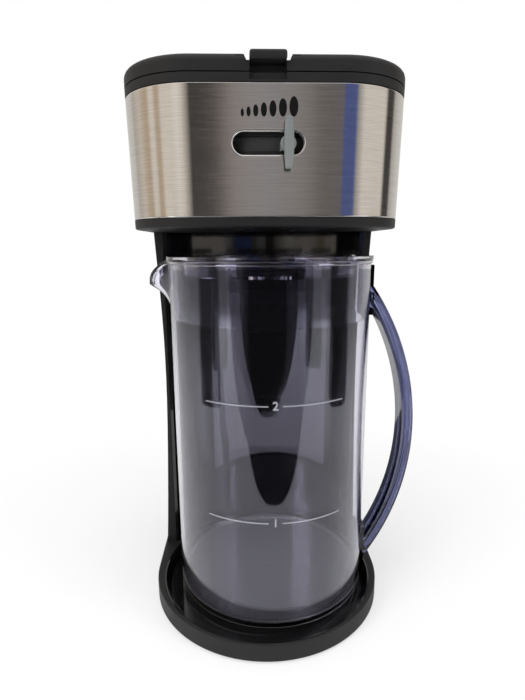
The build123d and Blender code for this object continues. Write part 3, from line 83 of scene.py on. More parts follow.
class BrewerSizes(bpy.types.PropertyGroup):
    """Sizes of the pieces that are modelled here"""
    wrap_flare: length("Steel flare", "Steel wider at its top, each side", 2)
    wrap_corner: length("Head corner", "Radius of the head's corners in plan", 48)
    wrap_sheet: length("Steel thickness", "Thickness of the steel wrap", 0.8)
    wrap_edge: length("Steel edge", "Rounding of the sheet's cut edges", 0.3)
    wrap_roll: length("Steel roll", "Radius of its rolled upper and lower edges", 1.0)
    slot_half_length: length("Slot half length", "From its middle to its end", 21.5)
    slot_half_width: length("Slot half width", "From its middle to its edge", 6.3)
    slot_height: length("Slot height", "Middle of the slot above the table", 346.0)
    slot_lip: length("Slot lip", "Width of the pressed lip round the slot", 2.3)
    slot_slope: length("Slot slope", "How much of the lip slopes inwards", 1.5)
    lid_foot: length("Lid underside", "Its underside above the table", 386.5)
    lid_back: length("Lid back", "From the brew axis to the back of the lid", 116)
    lid_edge: length("Lid edge", "Rounding of the lid's upper edge", 5)
    lid_wall: length("Lid wall", "Thickness of the lid's shell", 2.4)
    lid_rise: length("Lid thickness", "Height of the lid without its tab", 10.5)
    tab_half: length("Tab half width", "Half the width of the thumb tab", 11.2)
    tab_top: length("Tab top", "Top of the thumb tab above the table", 397.4)
    tab_depth: length("Tab thickness", "Thickness of the thumb tab", 5.6)
    tab_reach: length("Tab reach", "How far the tab stands out in front of the head", 4.5)
    notch_width: length("Notch width", "Gap at each side of the tab, at its top", 6.0)
    notch_length: length("Notch length", "How far the notches run back", 14)
    notch_slant: length("Notch slant", "Notches narrower at their foot", 4.68)
    lever_radius: length("Lever radius", "From the selector's axis to the back of the blade", 66.5)
    lever_half_height: length("Lever half height", "Half the height of the blade", 15)
    lever_half_width: length("Lever half width", "Half the width of the blade at its middle", 3)
    lever_thickness: length("Lever thickness", "Thickness of the blade", 3.5)
    lever_hub: length("Lever hub", "Radius of the round hub behind the blade", 4.8)
    jug_radius: length("Pitcher radius", "Outside radius at the foot", 75.5)
    jug_flare: length("Pitcher flare", "Pitcher wider at its rim", 0.5)
    jug_wall: length("Pitcher wall", "Thickness of the wall", 2.4)
    jug_floor: length("Pitcher floor", "Thickness of the floor", 2.6)
    jug_corner: length("Pitcher corner", "Inner rounding between floor and wall", 3)
    jug_bead: length("Pitcher bead", "How far the rolled rim stands out", 1.2)
    spout_reach: length("Spout reach", "From the pitcher's wall to the tip", 14.6)
    spout_drop: length("Spout drop", "From the rim down to the tip", 16)
    spout_half: length("Spout half width", "Half the width of the spout at its root", 18)
    level_high: length("Upper level", "Upper level line above the table", 181.6)
    level_low: length("Lower level", "Lower level line above the table", 97.6)
    level_line: length("Line width", "Width and height of the raised level lines", 0.55)
    numeral: length("Numeral height", "Height of the plain numbers on the level lines", 6)


class BrewerColours(bpy.types.PropertyGroup):
    """Colours of the finishes"""
    matte: colour("Matte black", "Textured mouldings of the base, tower and head", (0.012, 0.0118, 0.012))
    gloss: colour("Gloss black", "Polished panel and drip tray", (0.004, 0.004, 0.0045))
    steel: colour("Brushed steel", "Wrap round the head", (0.62, 0.605, 0.585))
    lever: colour("Lever", "Satin grey strength lever", (0.155, 0.168, 0.166))
    clear: colour("Clear plastic", "Pitcher and its lid", (0.9, 0.895, 0.965))
    violet: colour("Handle plastic", "Thick parts of the pitcher", (0.15, 0.16, 0.29))


# Finishes

white = (1.0, 1.0, 1.0)
plastic_index = 1.49


def arithmetic(operation, swapped=False):
    """A Math node on a wire and another value; swapped is for a wire that stands second."""
    def result(wire, other):
        first, second = (other, wire) if swapped else (wire, other)
        return wire.finish.sum(operation, first, second)
    return result


class Wire:
    """A node's output that can be used in sums."""

    def __init__(self, finish, socket):
        self.finish = finish
        self.socket = socket

    __add__, __radd__ = arithmetic("ADD"), arithmetic("ADD", True)
    __sub__, __rsub__ = arithmetic("SUBTRACT"), arithmetic("SUBTRACT", True)
    __mul__, __rmul__ = arithmetic("MULTIPLY"), arithmetic("MULTIPLY", True)


class Finish:
    """A material that is put together node by node round its main shader."""

    def __init__(self, name, **constants):
        self.material = bpy.data.materials.new(name)
        self.material.use_nodes = True
        self.tree = self.material.node_tree
        self.shader = self.tree.nodes["Principled BSDF"]
        self.set(**constants)

    def set(self, **values):
        """Gives the shader's sockets a value or a link; a name has _ for each space."""
        for name, value in values.items():
            self.feed(self.shader.inputs[name.replace("_", " ")], value)

    def feed(self, socket, value):
        """Gives a socket a link or a value."""
        if isinstance(value, Wire):
            self.tree.links.new(value.socket, socket)
        elif socket.type == "RGBA" and len(value) == 3:
            socket.default_value = (*value, 1.0)
        else:
            socket.default_value = value

    def node(self, kind, settings=None, inputs=None, output=0):
        """Adds a node: its settings come first, then the values or links of its sockets."""
        made = self.tree.nodes.new("ShaderNode" + kind)
        for name, value in (settings or {}).items():
            if name == "stops":
                ramp = made.color_ramp
                while len(ramp.elements) < len(value):
                    ramp.elements.new(1.0)
                for element, (place, shade) in zip(ramp.elements, value):
                    element.position = place
                    element.color = (*shade, 1.0)
            else:
                setattr(made, name, value)
        for name, value in (inputs or {}).items():
            self.feed(made.inputs[name], value)
        return Wire(self, made.outputs[output])

    def sum(self, operation, first, second=0.0):
        """A Math node's result."""
        return self.node("Math", {"operation": operation}, {0: first, 1: second})

    def parts(self, vector):
        """The three numbers of a vector."""
        first = self.node("SeparateXYZ", None, {0: vector})
        return [Wire(self, output) for output in first.socket.node.outputs]

    def place(self, scale=(1.0, 1.0, 1.0)):
        """The object's own coordinates, stretched by a scale."""
        spot = self.node("TexCoord", output="Object")
        return self.node("Mapping", None, {"Vector": spot, "Scale": scale})

    def noise(self, size, detail=2.0, rough=0.5, stretch=(1.0, 1.0, 1.0), spread=0.0):
        """Noise whose grains are about a size across, in metres; a stretch makes them longer."""
        scale = tuple(1.0 / (size * part) for part in stretch)
        return self.node("TexNoise", None, {"Vector": self.place(scale), "Scale": 1.0, "Detail": detail,
                                            "Roughness": rough, "Distortion": spread})

    def range(self, value, low, high, to_low=0.0, to_high=1.0):
        """Maps a value from one range to another, held at its ends."""
        return self.node("MapRange", None, {"Value": value, "From Min": low, "From Max": high,
                                            "To Min": to_low, "To Max": to_high})

    def blend(self, share, first, second):
        """Mixes two colours."""
        return self.node("Mix", {"data_type": "RGBA"}, {0: share, 6: first, 7: second}, 2)

    def ray(self, output):
        """What the light path says of a ray."""
        return self.node("LightPath", output=output)

    def seen(self):
        """1 for a ray from the camera, straight or through clear plastic, and 0 for others."""
        straight = self.sum("LESS_THAN", self.ray("Glossy Depth") + self.ray("Diffuse Depth"), 0.5)
        return self.ray("Is Camera Ray") + self.ray("Is Transmission Ray") * straight

    def shiny(self):
        """1 for a mirrored ray, also one that has gone through clear plastic since, and 0 for others."""
        mirrored = self.sum("GREATER_THAN", self.ray("Glossy Depth"), 0.5)
        return self.sum("MAXIMUM", self.ray("Is Glossy Ray"), self.ray("Is Transmission Ray") * mirrored)

    def glow(self, share, others, strength):
        """Glows white for a share of the rays, and shows the others another shader."""
        white_glow = self.node("Emission", None, {"Color": white, "Strength": strength})
        mixed = self.node("MixShader", None, {0: share, 1: others, 2: white_glow})
        self.feed(self.tree.nodes["Material Output"].inputs["Surface"], mixed)

    def bump(self, height, depth, strength):
        """Relief of a depth in metres."""
        return self.node("Bump", None, {"Height": height, "Distance": depth, "Strength": strength})


class Surroundings(Finish):
    """The same, for the world's nodes."""

    def __init__(self, tree):
        self.tree = tree


def tint(shade, factor):
    """A colour made lighter or darker."""
    return tuple(min(1.0, part * factor) for part in shade)


def textured_plastic(name, shade, grain=0.00045, depth=0.00002, rough=0.55):
    """Moulded plastic with a fine spark-eroded texture and faint scuffs."""
    finish = Finish(name, Specular_IOR_Level=0.3)
    grains = finish.noise(grain, 3.0, 0.6)
    clouds = finish.noise(0.03, 3.0, 0.55)
    scuffs = finish.noise(0.004, 4.0, 0.7, (6.0, 1.0, 1.0), 0.4)
    wear = finish.range(scuffs, 0.62, 0.72, 0.0, 0.5)
    body = finish.blend(clouds, tint(shade, 0.8), tint(shade, 1.25))
    finish.set(Base_Color=finish.blend(wear, body, tint(shade, 1.5)),
               Roughness=finish.range(clouds, 0.3, 0.7, rough - 0.06, rough + 0.08) + wear * 0.05,
               Normal=finish.bump(grains, depth, 0.8))
    return finish.material


def polished_plastic(name, shade):
    """Polished moulding with a slight orange peel and a film of dust."""
    finish = Finish(name, Specular_IOR_Level=0.5, Coat_Weight=0.3, Coat_Roughness=0.03)
    peel = finish.noise(0.009, 1.0, 0.4)
    dust = finish.range(finish.noise(0.0007, 2.0, 0.6), 0.66, 0.74)
    smears = finish.range(finish.noise(0.018, 3.0, 0.6, (1.0, 1.0, 3.0), 0.6), 0.45, 0.75)
    finish.set(Base_Color=finish.blend(dust * 0.3, shade, (0.12, 0.12, 0.12)),
               Roughness=0.07 + smears * 0.07 + dust * 0.2,
               Normal=finish.bump(peel, 0.00004, 0.5))
    return finish.material


def brushed_steel(name, shade):
    """Sheet steel with fine brushing that runs round the head."""
    finish = Finish(name, Metallic=1.0, Anisotropic=0.85, Anisotropic_Rotation=0.25)
    fine = finish.noise(0.00022, 2.0, 0.6, (60.0, 60.0, 1.0))
    long = finish.noise(0.0006, 3.0, 0.65, (90.0, 90.0, 1.0))
    clouds = finish.noise(0.05, 2.0, 0.5, (1.0, 1.0, 0.4))
    lines = fine * 0.6 + long * 0.4
    finish.set(Base_Color=finish.blend(finish.range(lines, 0.35, 0.65), tint(shade, 0.86),
                                       tint(shade, 1.12)),
               Roughness=finish.range(lines, 0.3, 0.7, 0.08, 0.17) + clouds * 0.03,
               Normal=finish.bump(lines, 0.000005, 0.35))
    return finish.material


def polished_steel(name, shade):
    """Pressed and buffed steel edge."""
    finish = Finish(name, Metallic=1.0)
    marks = finish.noise(0.0006, 3.0, 0.6)
    finish.set(Base_Color=finish.blend(marks, tint(shade, 1.1), tint(shade, 1.35)),
               Roughness=finish.range(marks, 0.3, 0.7, 0.1, 0.2), Normal=finish.bump(marks, 0.00001, 0.3))
    return finish.material


def clear_plastic(name, shade):
    """Clear moulded plastic with moulding waves and fine wiping marks."""
    finish = Finish(name, Transmission_Weight=1.0, IOR=plastic_index, Specular_Tint=(0.9, 0.89, 1.0))
    waves = finish.noise(0.03, 1.0, 0.4, (1.0, 1.0, 2.5))
    wiped = finish.range(finish.noise(0.0012, 3.0, 0.7, (1.0, 1.0, 8.0), 0.3), 0.6, 0.75)
    finish.set(Base_Color=finish.blend(waves * 0.3, shade, tint(shade, 0.94)), Roughness=0.02 + wiped * 0.03,
               Normal=finish.bump(waves, 0.0002, 0.12))
    return finish.material


# The handle's arc in the upright plane, and the painted light and shade across each face from one edge to the
# other: light and dark bands painted on, standing in for how light runs through the thick clear plastic
handle_middle = (-80.9 * mm, 140.0 * mm)
handle_inside, handle_outside = 190 * mm, 199 * mm
inner_face_painted_light = ((0.0, 1.0), (0.2, 0.3), (0.45, 0.15), (0.7, 0.35), (0.82, 1.6), (0.92, 0.4), (1.0, 1.5))
side_face_painted_light = ((0.0, 1.4), (0.1, 1.0), (0.2, 0.15), (0.36, 0.25), (0.46, 0.8), (0.55, 1.9), (0.78, 1.6),
                  (0.9, 0.4), (1.0, 0.6))
painted_band_wander = 2 * mm


def plastic_with_painted_bands(name, shade):
    """Clear moulded plastic with painted light and shade: bands that run along the handle, painted dark and
    light by turns.

    The painted bands run across the side faces over the radius of the arc, and across the inner face over its
    width.
    """
    finish = Finish(name, Transmission_Weight=1.0, IOR=plastic_index)
    spot = finish.node("TexCoord", output="Object")
    middle_x, middle_z = handle_middle
    flat = finish.node("Mapping", None, {"Vector": spot, "Location": (-middle_x, 0.0, -middle_z),
                                         "Scale": (1.0, 0.0, 1.0)})
    waves = finish.noise(0.02, 2.0, 0.5)
    wander = waves * painted_band_wander - painted_band_wander / 2

    # Painted light and shade: a ramp of bands lighter and darker than the violet, across one face
    def painted_bands(share, factors):
        stops = [(place, tint(shade, factor)) for place, factor in factors]
        return finish.node("ValToRGB", {"stops": stops}, {0: share})

    reach = finish.node("VectorMath", {"operation": "LENGTH"}, {0: flat}, "Value") + wander
    side_share = finish.range(reach, handle_inside, handle_outside)
    across = finish.sum("ABSOLUTE", finish.parts(spot)[1]) + wander
    inner_share = finish.range(across, 0.0, handle_outside - handle_inside)
    # The base colour is painted light and shade, with one set of painted bands on the side faces and another
    # on the inner face
    finish.set(Base_Color=finish.blend(finish.range(side_share, 0.04, 0.1),
                                       painted_bands(inner_share, inner_face_painted_light), painted_bands(side_share, side_face_painted_light)),
               Roughness=finish.range(waves, 0.3, 0.7, 0.02, 0.05), Normal=finish.bump(waves, 0.0002, 0.15))
    return finish.material


def frosted_plastic(name, clear, shade, rough=0.3):
    """Moulded plastic that scatters part of the light and lets the clear share through."""
    finish = Finish(name, Transmission_Weight=clear, IOR=plastic_index)
    grains = finish.noise(0.0005, 2.0, 0.6)
    finish.set(Base_Color=finish.blend(grains, tint(shade, 0.9), tint(shade, 1.1)),
               Roughness=finish.range(grains, 0.3, 0.7, rough, rough + 0.12))
    return finish.material


def cast_metal(name, shade, rough):
    """Metal with a fine grain and darker clouds."""
    finish = Finish(name, Metallic=1.0)
    grains = finish.noise(0.0008, 3.0, 0.6)
    clouds = finish.noise(0.012, 3.0, 0.6)
    finish.set(Base_Color=finish.blend(clouds, tint(shade, 0.75), tint(shade, 1.1)),
               Roughness=finish.range(grains, 0.3, 0.7, rough - 0.06, rough + 0.1),
               Normal=finish.bump(grains, 0.00003, 0.6))
    return finish.material


def soft_rubber(name, shade, rough=0.75):
    """Rubber or silicone with a dull, slightly uneven skin."""
    finish = Finish(name, Specular_IOR_Level=0.3)
    skin = finish.noise(0.0006, 3.0, 0.7)
    clouds = finish.noise(0.01, 2.0, 0.5)
    finish.set(Base_Color=finish.blend(clouds, tint(shade, 0.85), tint(shade, 1.15)),
               Roughness=finish.range(skin, 0.3, 0.7, rough - 0.08, rough + 0.08),
               Normal=finish.bump(skin, 0.00002, 0.6))
    return finish.material


def woven_mesh(name, shade):
    """Fine woven steel mesh; the holes between its wires are not cut but painted dark, as painted shade."""
    upright_wires, level_wire_pitch = 300.0, 2 * pi / 6000.0
    finish = Finish(name, Metallic=1.0)
    x, y, z = finish.parts(finish.node("TexCoord", output="Object"))
    warp = finish.sum("SINE", finish.sum("ARCTAN2", y, x) * upright_wires)
    weft = finish.sum("SINE", z * (2 * pi / level_wire_pitch))
    wires = finish.sum("MAXIMUM", warp, weft)
    # Painted shade: between the wires the colour falls to a quarter of the steel's, for the dark seen through
    # the holes
    finish.set(Base_Color=finish.blend(finish.range(wires, -0.2, 0.9), tint(shade, 0.25), shade),
               Roughness=finish.range(wires, -1.0, 1.0, 0.55, 0.3), Normal=finish.bump(wires, 0.0002, 0.7))
    return finish.material


# Finishes made so far, by their slots
made_finishes = {}


def finish_for(slot):
    """The finish of one of the record's material slots, made once."""
    paint = bpy.context.scene.brewer_colours
    makers = {
        "matte_black": (textured_plastic, paint.matte),
        "gloss_black": (polished_plastic, paint.gloss),
        "rubber": (soft_rubber, (0.05, 0.05, 0.05)),
        "brushed_steel": (brushed_steel, paint.steel),
        "screw_steel": (cast_metal, (0.6, 0.6, 0.6), 0.32),
        "cast_aluminium": (cast_metal, (0.7, 0.7, 0.71), 0.45),
        "mark_ink": (soft_rubber, (0.003, 0.003, 0.003), 0.35),
        "lever_grey": (textured_plastic, paint.lever, 0.0004, 0.000008, 0.4),
        "basket_black": (textured_plastic, (0.04, 0.04, 0.042), 0.0004, 0.00001, 0.4),
        "fine_mesh": (woven_mesh, (0.6, 0.6, 0.58)),
        "clear_violet": (clear_plastic, paint.clear),
        # The handle's finish paints its light and shade as bands
        "violet_handle": (plastic_with_painted_bands, paint.violet),
        "smoked_clear": (clear_plastic, (0.72, 0.72, 0.74)),
        "silicone": (soft_rubber, (0.72, 0.72, 0.7), 0.5),
        "natural_plastic": (textured_plastic, (0.75, 0.74, 0.7), 0.0005, 0.00001, 0.45),
    }
    if slot not in made_finishes:
        maker, shade, *values = makers[slot]
        made_finishes[slot] = maker(slot, tuple(shade), *values)
    return made_finishes[slot]


# Modelling

def alone(piece):
    """Makes a piece the only one selected, and the active one."""
    bpy.ops.object.select_all(action="DESELECT")
    piece.select_set(True)
    bpy.context.view_layer.objects.active = piece


def start(name):
    """Takes the primitive just added, puts its place into its mesh and opens it for editing."""
    piece = bpy.context.object
    piece.name = piece.data.name = name
    alone(piece)
    bpy.ops.object.transform_apply(location=True, rotation=True, scale=True)
    bpy.ops.object.mode_set(mode="EDIT")
    return piece


def done():
    """Closes the open mesh."""
    bpy.ops.object.mode_set(mode="OBJECT")


def cylinder(name, middle, radius, depth, turn, sides):
    """Cylinder, open for editing."""
    bpy.ops.mesh.primitive_cylinder_add(vertices=sides, radius=radius, depth=depth, location=middle,
                                        rotation=turn)
    return start(name)


def slab(name, low, high):
    """Block between two corners, open for editing."""
    centre = [(a + b) / 2 for a, b in zip(low, high)]
    spans = [b - a for a, b in zip(low, high)]
    bpy.ops.mesh.primitive_cube_add(size=1.0, location=centre, scale=spans)
    return start(name)


def pick(kind, test):
    """Selects the vertices, edges or faces of the open mesh that pass a test on their middle and way."""
    bpy.ops.mesh.select_mode(type={"verts": "VERT", "edges": "EDGE", "faces": "FACE"}[kind])
    bpy.ops.mesh.select_all(action="DESELECT")
    mesh = bmesh.from_edit_mesh(bpy.context.object.data)
    for part in getattr(mesh, kind):
        if kind == "verts":
            chosen = test(part.co)
        elif kind == "edges":
            first, second = (vert.co for vert in part.verts)
            chosen = test((first + second) / 2, (second - first).normalized())
        else:
            chosen = test(part.calc_center_median(), part.normal)
        if chosen:
            part.select_set(True)
    mesh.select_flush_mode()
    bmesh.update_edit_mesh(bpy.context.object.data)


def near(value, target):
    """Whether two lengths are the same within 0.02 mm."""
    return abs(value - target) < 0.02 * mm


def scaled(x, y, z, centre):
    """Scales what is selected, from a centre."""
    bpy.ops.transform.resize(value=(x, y, z), center_override=centre)


def round_picked(radius, segments):
    """Rounds the selected edges."""
    bpy.ops.mesh.bevel(offset=radius, offset_type="OFFSET", segments=segments, profile=0.5, affect="EDGES")


def outline_rounded(side, radius, segments):
    """Rounds the outline of the open mesh's upper face, at side 1, or of its lower face, at side -1."""
    pick("faces", lambda spot, way: way.z * side > 0.9)
    bpy.ops.mesh.select_mode(type="EDGE")
    bpy.ops.mesh.region_to_loop()
    round_picked(radius, segments)


def closed_up():
    """Merges what lies together in the open mesh, and turns its faces outwards."""
    bpy.ops.mesh.select_all(action="SELECT")
    bpy.ops.mesh.remove_doubles(threshold=0.000001)
    bpy.ops.mesh.normals_make_consistent(inside=False)


def turned(name, profile, centre, segments, inward=()):
    """Turned piece, open for editing: a circle drawn along a profile of radii and heights.

    The inward points close the piece from the profile's first circle to the axis.
    """
    radius, height = profile[0]
    bpy.ops.mesh.primitive_circle_add(vertices=segments, radius=radius, location=(*centre, height))
    piece = start(name)
    bpy.ops.mesh.select_mode(type="VERT")
    bpy.ops.mesh.select_all(action="SELECT")
    follow(profile, centre)
    if inward:
        middle = Vector((*centre, height))
        pick("verts", lambda spot: near(spot.z, height) and near((spot - middle).length, radius))
        follow([profile[0], *inward], centre)
    closed_up()
    return piece


def follow(profile, centre):
    """Draws the selected circle on through the rest of a profile."""
    radius, height = profile[0]
    for next_radius, next_height in profile[1:]:
        bpy.ops.mesh.extrude_region_move(TRANSFORM_OT_translate={"value": (0.0, 0.0, next_height - height)})
        share = next_radius / radius
        scaled(share, share, 1.0, (*centre, next_height))
        radius, height = next_radius, next_height


def fitted(piece, kind, **settings):
    """Adds a modifier and applies it."""
    alone(piece)
    added = piece.modifiers.new(kind.lower(), kind)
    for name, value in settings.items():
        setattr(added, name, value)
    bpy.ops.object.modifier_apply(modifier=added.name)


def cut(piece, *cutters):
    """Cuts closed pieces out of a piece and removes them."""
    for cutter in cutters:
        fitted(piece, "BOOLEAN", operation="DIFFERENCE", solver="EXACT", object=cutter)
        bpy.data.objects.remove(cutter)


def edges_rounded(piece, width, segments, angle, **more):
    """Rounds all edges sharper than an angle in degrees."""
    fitted(piece, "BEVEL", width=width, segments=segments, limit_method="ANGLE", angle_limit=radians(angle),
           **more)


def joined(*pieces):
    """Joins pieces into the first one."""
    alone(pieces[0])
    for piece in pieces[1:]:
        piece.select_set(True)
    bpy.ops.object.join()
    return pieces[0]


def dressed(piece, body, slot, *nodes, smooth=32.0, finish=None, keep=False):
    """Smooths a piece, gives it its finish and its body, and lets it stand for its nodes."""
    alone(piece)
    bpy.ops.object.shade_smooth_by_angle(angle=radians(smooth))
    fitted(piece, "WEIGHTED_NORMAL", keep_sharp=True, weight=80)
    if not keep:
        piece.data.materials.clear()
        piece.data.materials.append(finish or finish_for(slot))
    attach(piece, body)
    if nodes:
        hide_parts(*nodes)


# Operators

class BREWER_OT_steel(bpy.types.Operator):
    """Steel wrap round the head, with rolled edges and a pressed lip round the slot"""
    bl_idname = "brewer.steel"
    bl_label = "Steel wrap"

    def stadium(self, name, size, growth, low, high):
        """Block with round ends, as large as the slot and a growth, open for editing."""
        half = size.slot_half_width + growth
        reach = size.slot_half_length + growth
        almost_half = half * 0.9999
        piece = slab(name, (-reach, low, size.slot_height - half), (reach, high, size.slot_height + half))
        pick("edges", lambda spot, way: abs(way.y) > 0.9)
        round_picked(almost_half, 16)
        return piece

    def execute(self, context):
        size = context.scene.brewer_sizes
        front, back, foot, top = head_low[1], head_high[1], head_low[2], head_high[2]
        half = head_high[0] - size.wrap_flare
        polished = polished_steel("steel_edge", tuple(context.scene.brewer_colours.steel))
        wrap = slab("steel_wrap", (-half, front, foot), (half, back + 100 * mm, top))
        wrap.data.materials.append(finish_for("brushed_steel"))
        wrap.data.materials.append(polished)
        pick("edges", lambda spot, way: abs(way.z) > 0.9 and spot.y < 0.0)
        round_picked(size.wrap_corner, 32)
        for side in (-1.0, 1.0):
            outline_rounded(side, size.wrap_roll, 5)
        pick("faces", lambda spot, way: 0.1 < abs(way.z) < 0.999)
        wrap.active_material_index = 1
        bpy.ops.object.material_slot_assign()
        pick("faces", lambda spot, way: abs(way.z) > 0.999 or way.y > 0.9)
        bpy.ops.mesh.delete(type="FACE")
        bpy.ops.mesh.select_all(action="SELECT")
        bpy.ops.mesh.bisect(plane_co=(0.0, back, 0.0), plane_no=(0.0, 1.0, 0.0), clear_outer=True)
        pick("verts", lambda spot: spot.z > top - 2 * size.wrap_roll)
        share = head_high[0] / half
        scaled(share, 1.0, 1.0, (0.0, 0.0, top))
        done()
        fitted(wrap, "SOLIDIFY", thickness=size.wrap_sheet, offset=-1.0, use_even_offset=True)
        under_lip, lip_depth = size.slot_lip * 0.9, 2.6 * mm
        hole = self.stadium("hole", size, under_lip, front - 10 * mm, front + 20 * mm)
        done()
        cut(wrap, hole)
        edges_rounded(wrap, size.wrap_edge, 2, 60.0, material=1)
        lip = self.stadium("lip", size, 0.0, front - 0.02 * mm, front + lip_depth)
        pick("faces", lambda spot, way: abs(way.y) > 0.9)
        bpy.ops.mesh.delete(type="FACE")
        done()
        fitted(lip, "SOLIDIFY", thickness=size.slot_lip, offset=1.0, use_even_offset=True)
        bpy.ops.object.mode_set(mode="EDIT")
        straight = size.slot_half_length - size.slot_half_width
        reach = size.slot_half_width + 0.1 * mm
        pick("edges", lambda spot, way: abs(way.y) < 0.1 and spot.y < front and Vector(
            (max(abs(spot.x) - straight, 0.0), spot.z - size.slot_height)).length < reach)
        bpy.ops.mesh.bevel(offset=size.slot_slope, offset_type="OFFSET", segments=4, profile=0.42,
                           affect="EDGES")
        done()
        edges_rounded(lip, 0.25 * mm, 2, 60.0)
        lip.data.materials.append(polished)
        dressed(joined(wrap, lip), "machine", "brushed_steel", "steel_band", keep=True)
        return {"FINISHED"}


class BREWER_OT_lid(bpy.types.Operator):
    """Hinged lid with its thumb tab between two notches, and its hinge knuckles"""
    bl_idname = "brewer.lid"
    bl_label = "Brewer lid"

    def execute(self, context):
        size = context.scene.brewer_sizes
        front, back, foot = head_low[1], size.lid_back, size.lid_foot
        top = foot + size.lid_rise
        lid = self.shell(size, front, back, foot, top)
        tab_foot = size.tab_top - size.tab_depth
        cutters = self.notches(size, front, top, tab_foot)
        pocket_depth = 8 * mm
        pocket = slab("pocket", (-size.tab_half, front - 2 * mm, foot - 1 * mm),
                      (size.tab_half, front + pocket_depth, top + 5 * mm))
        done()
        cut(lid, *cutters, pocket)
        edges_rounded(lid, 0.35 * mm, 2, 50.0)
        tab = self.tab(size, front, tab_foot)
        knuckles = self.knuckles(size, back, foot)
        dressed(joined(lid, tab, *knuckles), "brew_lid_body", "matte_black", "brew_lid")
        return {"FINISHED"}

    def shell(self, size, front, back, foot, top):
        """Rounded lid, hollow from below, with a wall round the notches and the tab."""
        lid = slab("lid_shell", (-lid_half, front, foot), (lid_half, back, top))
        pick("edges", lambda spot, way: abs(way.z) > 0.9)
        round_picked(size.wrap_corner, 32)
        outline_rounded(1.0, size.lid_edge, 8)
        pick("faces", lambda spot, way: way.z < -0.9)
        bpy.ops.mesh.inset(thickness=size.lid_wall, depth=0.0)
        hollow = (0.0, 0.0, size.lid_rise - size.lid_wall)
        bpy.ops.mesh.extrude_region_move(TRANSFORM_OT_translate={"value": hollow})
        done()
        outer = size.tab_half + size.notch_width + size.lid_wall
        notch_wall = slab("notch_wall", (-outer, front + size.lid_wall / 2, foot + 0.1 * mm),
                          (outer, front + size.notch_length + size.lid_wall, top - size.lid_wall / 2))
        done()
        fitted(lid, "BOOLEAN", operation="UNION", solver="EXACT", object=notch_wall)
        bpy.data.objects.remove(notch_wall)
        return lid

    def notches(self, size, front, top, tab_foot):
        """Cutters for the notches beside the tab, each with a slanted outer side."""
        sill = 0.6 * mm
        cutters = []
        for side in (-1.0, 1.0):
            ends = sorted((side * (size.tab_half - 1 * mm), side * (size.tab_half + size.notch_width)))
            notch = slab("notch", (ends[0], front - 2 * mm, tab_foot - sill),
                         (ends[1], front + size.notch_length, top + 5 * mm))
            outer = side * (size.tab_half + size.notch_width)
            pick("verts", lambda spot: near(spot.x, outer) and spot.z < top)
            bpy.ops.transform.translate(value=(-side * size.notch_slant, 0.0, 0.0))
            done()
            cutters.append(notch)
        return cutters

    def tab(self, size, front, tab_foot):
        """Thumb tab with a rounded lip in front."""
        tab = slab("tab", (-size.tab_half, front - size.tab_reach, tab_foot),
                   (size.tab_half, front + size.notch_length + 2 * mm, size.tab_top))
        brow, chin = 2.4 * mm, 1.6 * mm
        pick("edges", lambda spot, way: abs(way.x) > 0.9 and spot.y < front and spot.z > tab_foot + mm)
        round_picked(brow, 6)
        pick("edges", lambda spot, way: abs(way.x) > 0.9 and spot.y < front and near(spot.z, tab_foot))
        round_picked(chin, 4)
        done()
        edges_rounded(tab, 1.6 * mm, 5, 60.0)
        return tab

    def knuckles(self, size, back, foot):
        """Two barrels round the hinge pins, each with a web to the back of the lid."""
        radius, bore, half_length = 3.8 * mm, 1.55 * mm, 8 * mm
        pieces = []
        for middle in (-29 * mm, 29 * mm):
            barrel = cylinder("knuckle", (middle, hinge_y, hinge_z), radius, 2 * half_length,
                              (0.0, pi / 2, 0.0), 48)
            pick("faces", lambda spot, way: abs(way.x) > 0.9)
            bpy.ops.mesh.inset(thickness=radius - bore, use_individual=True)
            bpy.ops.mesh.extrude_region_shrink_fatten(TRANSFORM_OT_shrink_fatten={"value": -1.5 * mm})
            done()
            edges_rounded(barrel, 0.4 * mm, 2, 50.0)
            web = slab("web", (middle - half_length, back - size.lid_wall, foot),
                       (middle + half_length, hinge_y, hinge_z + 1.5 * mm))
            done()
            edges_rounded(web, 0.4 * mm, 2, 50.0)
            pieces += [barrel, web]
        return pieces


class BREWER_OT_ring(bpy.types.Operator):
    """Ring that carries the lever round the well, with ports at its sides and back"""
    bl_idname = "brewer.ring"
    bl_label = "Selector ring"

    def execute(self, context):
        inner, outer = 51.3 * mm, 53.7 * mm
        low, high, edge = 340.1 * mm, 352.0 * mm, 0.6 * mm
        ring = turned("selector_ring_body", [(outer, low), (outer, high - edge), (outer - edge, high),
                                             (inner + edge, high), (inner, high - edge), (inner, low),
                                             (outer, low)], (0.0, 0.0), 144)
        done()
        port_radius, port_height, middle = 3.2 * mm, 346.0 * mm, (inner + outer) / 2
        ports = []
        for angle in range(-30, 211, 20):
            turn = radians(angle)
            ports.append(cylinder("port", (middle * cos(turn), middle * sin(turn), port_height),
                                  port_radius, 8 * mm, (pi / 2, 0.0, turn + pi / 2), 24))
            done()
        cut(ring, *ports)
        edges_rounded(ring, 0.25 * mm, 2, 50.0)
        dressed(ring, "selector", "basket_black", "selector_ring")
        return {"FINISHED"}


lever_rest = radians(10.3)


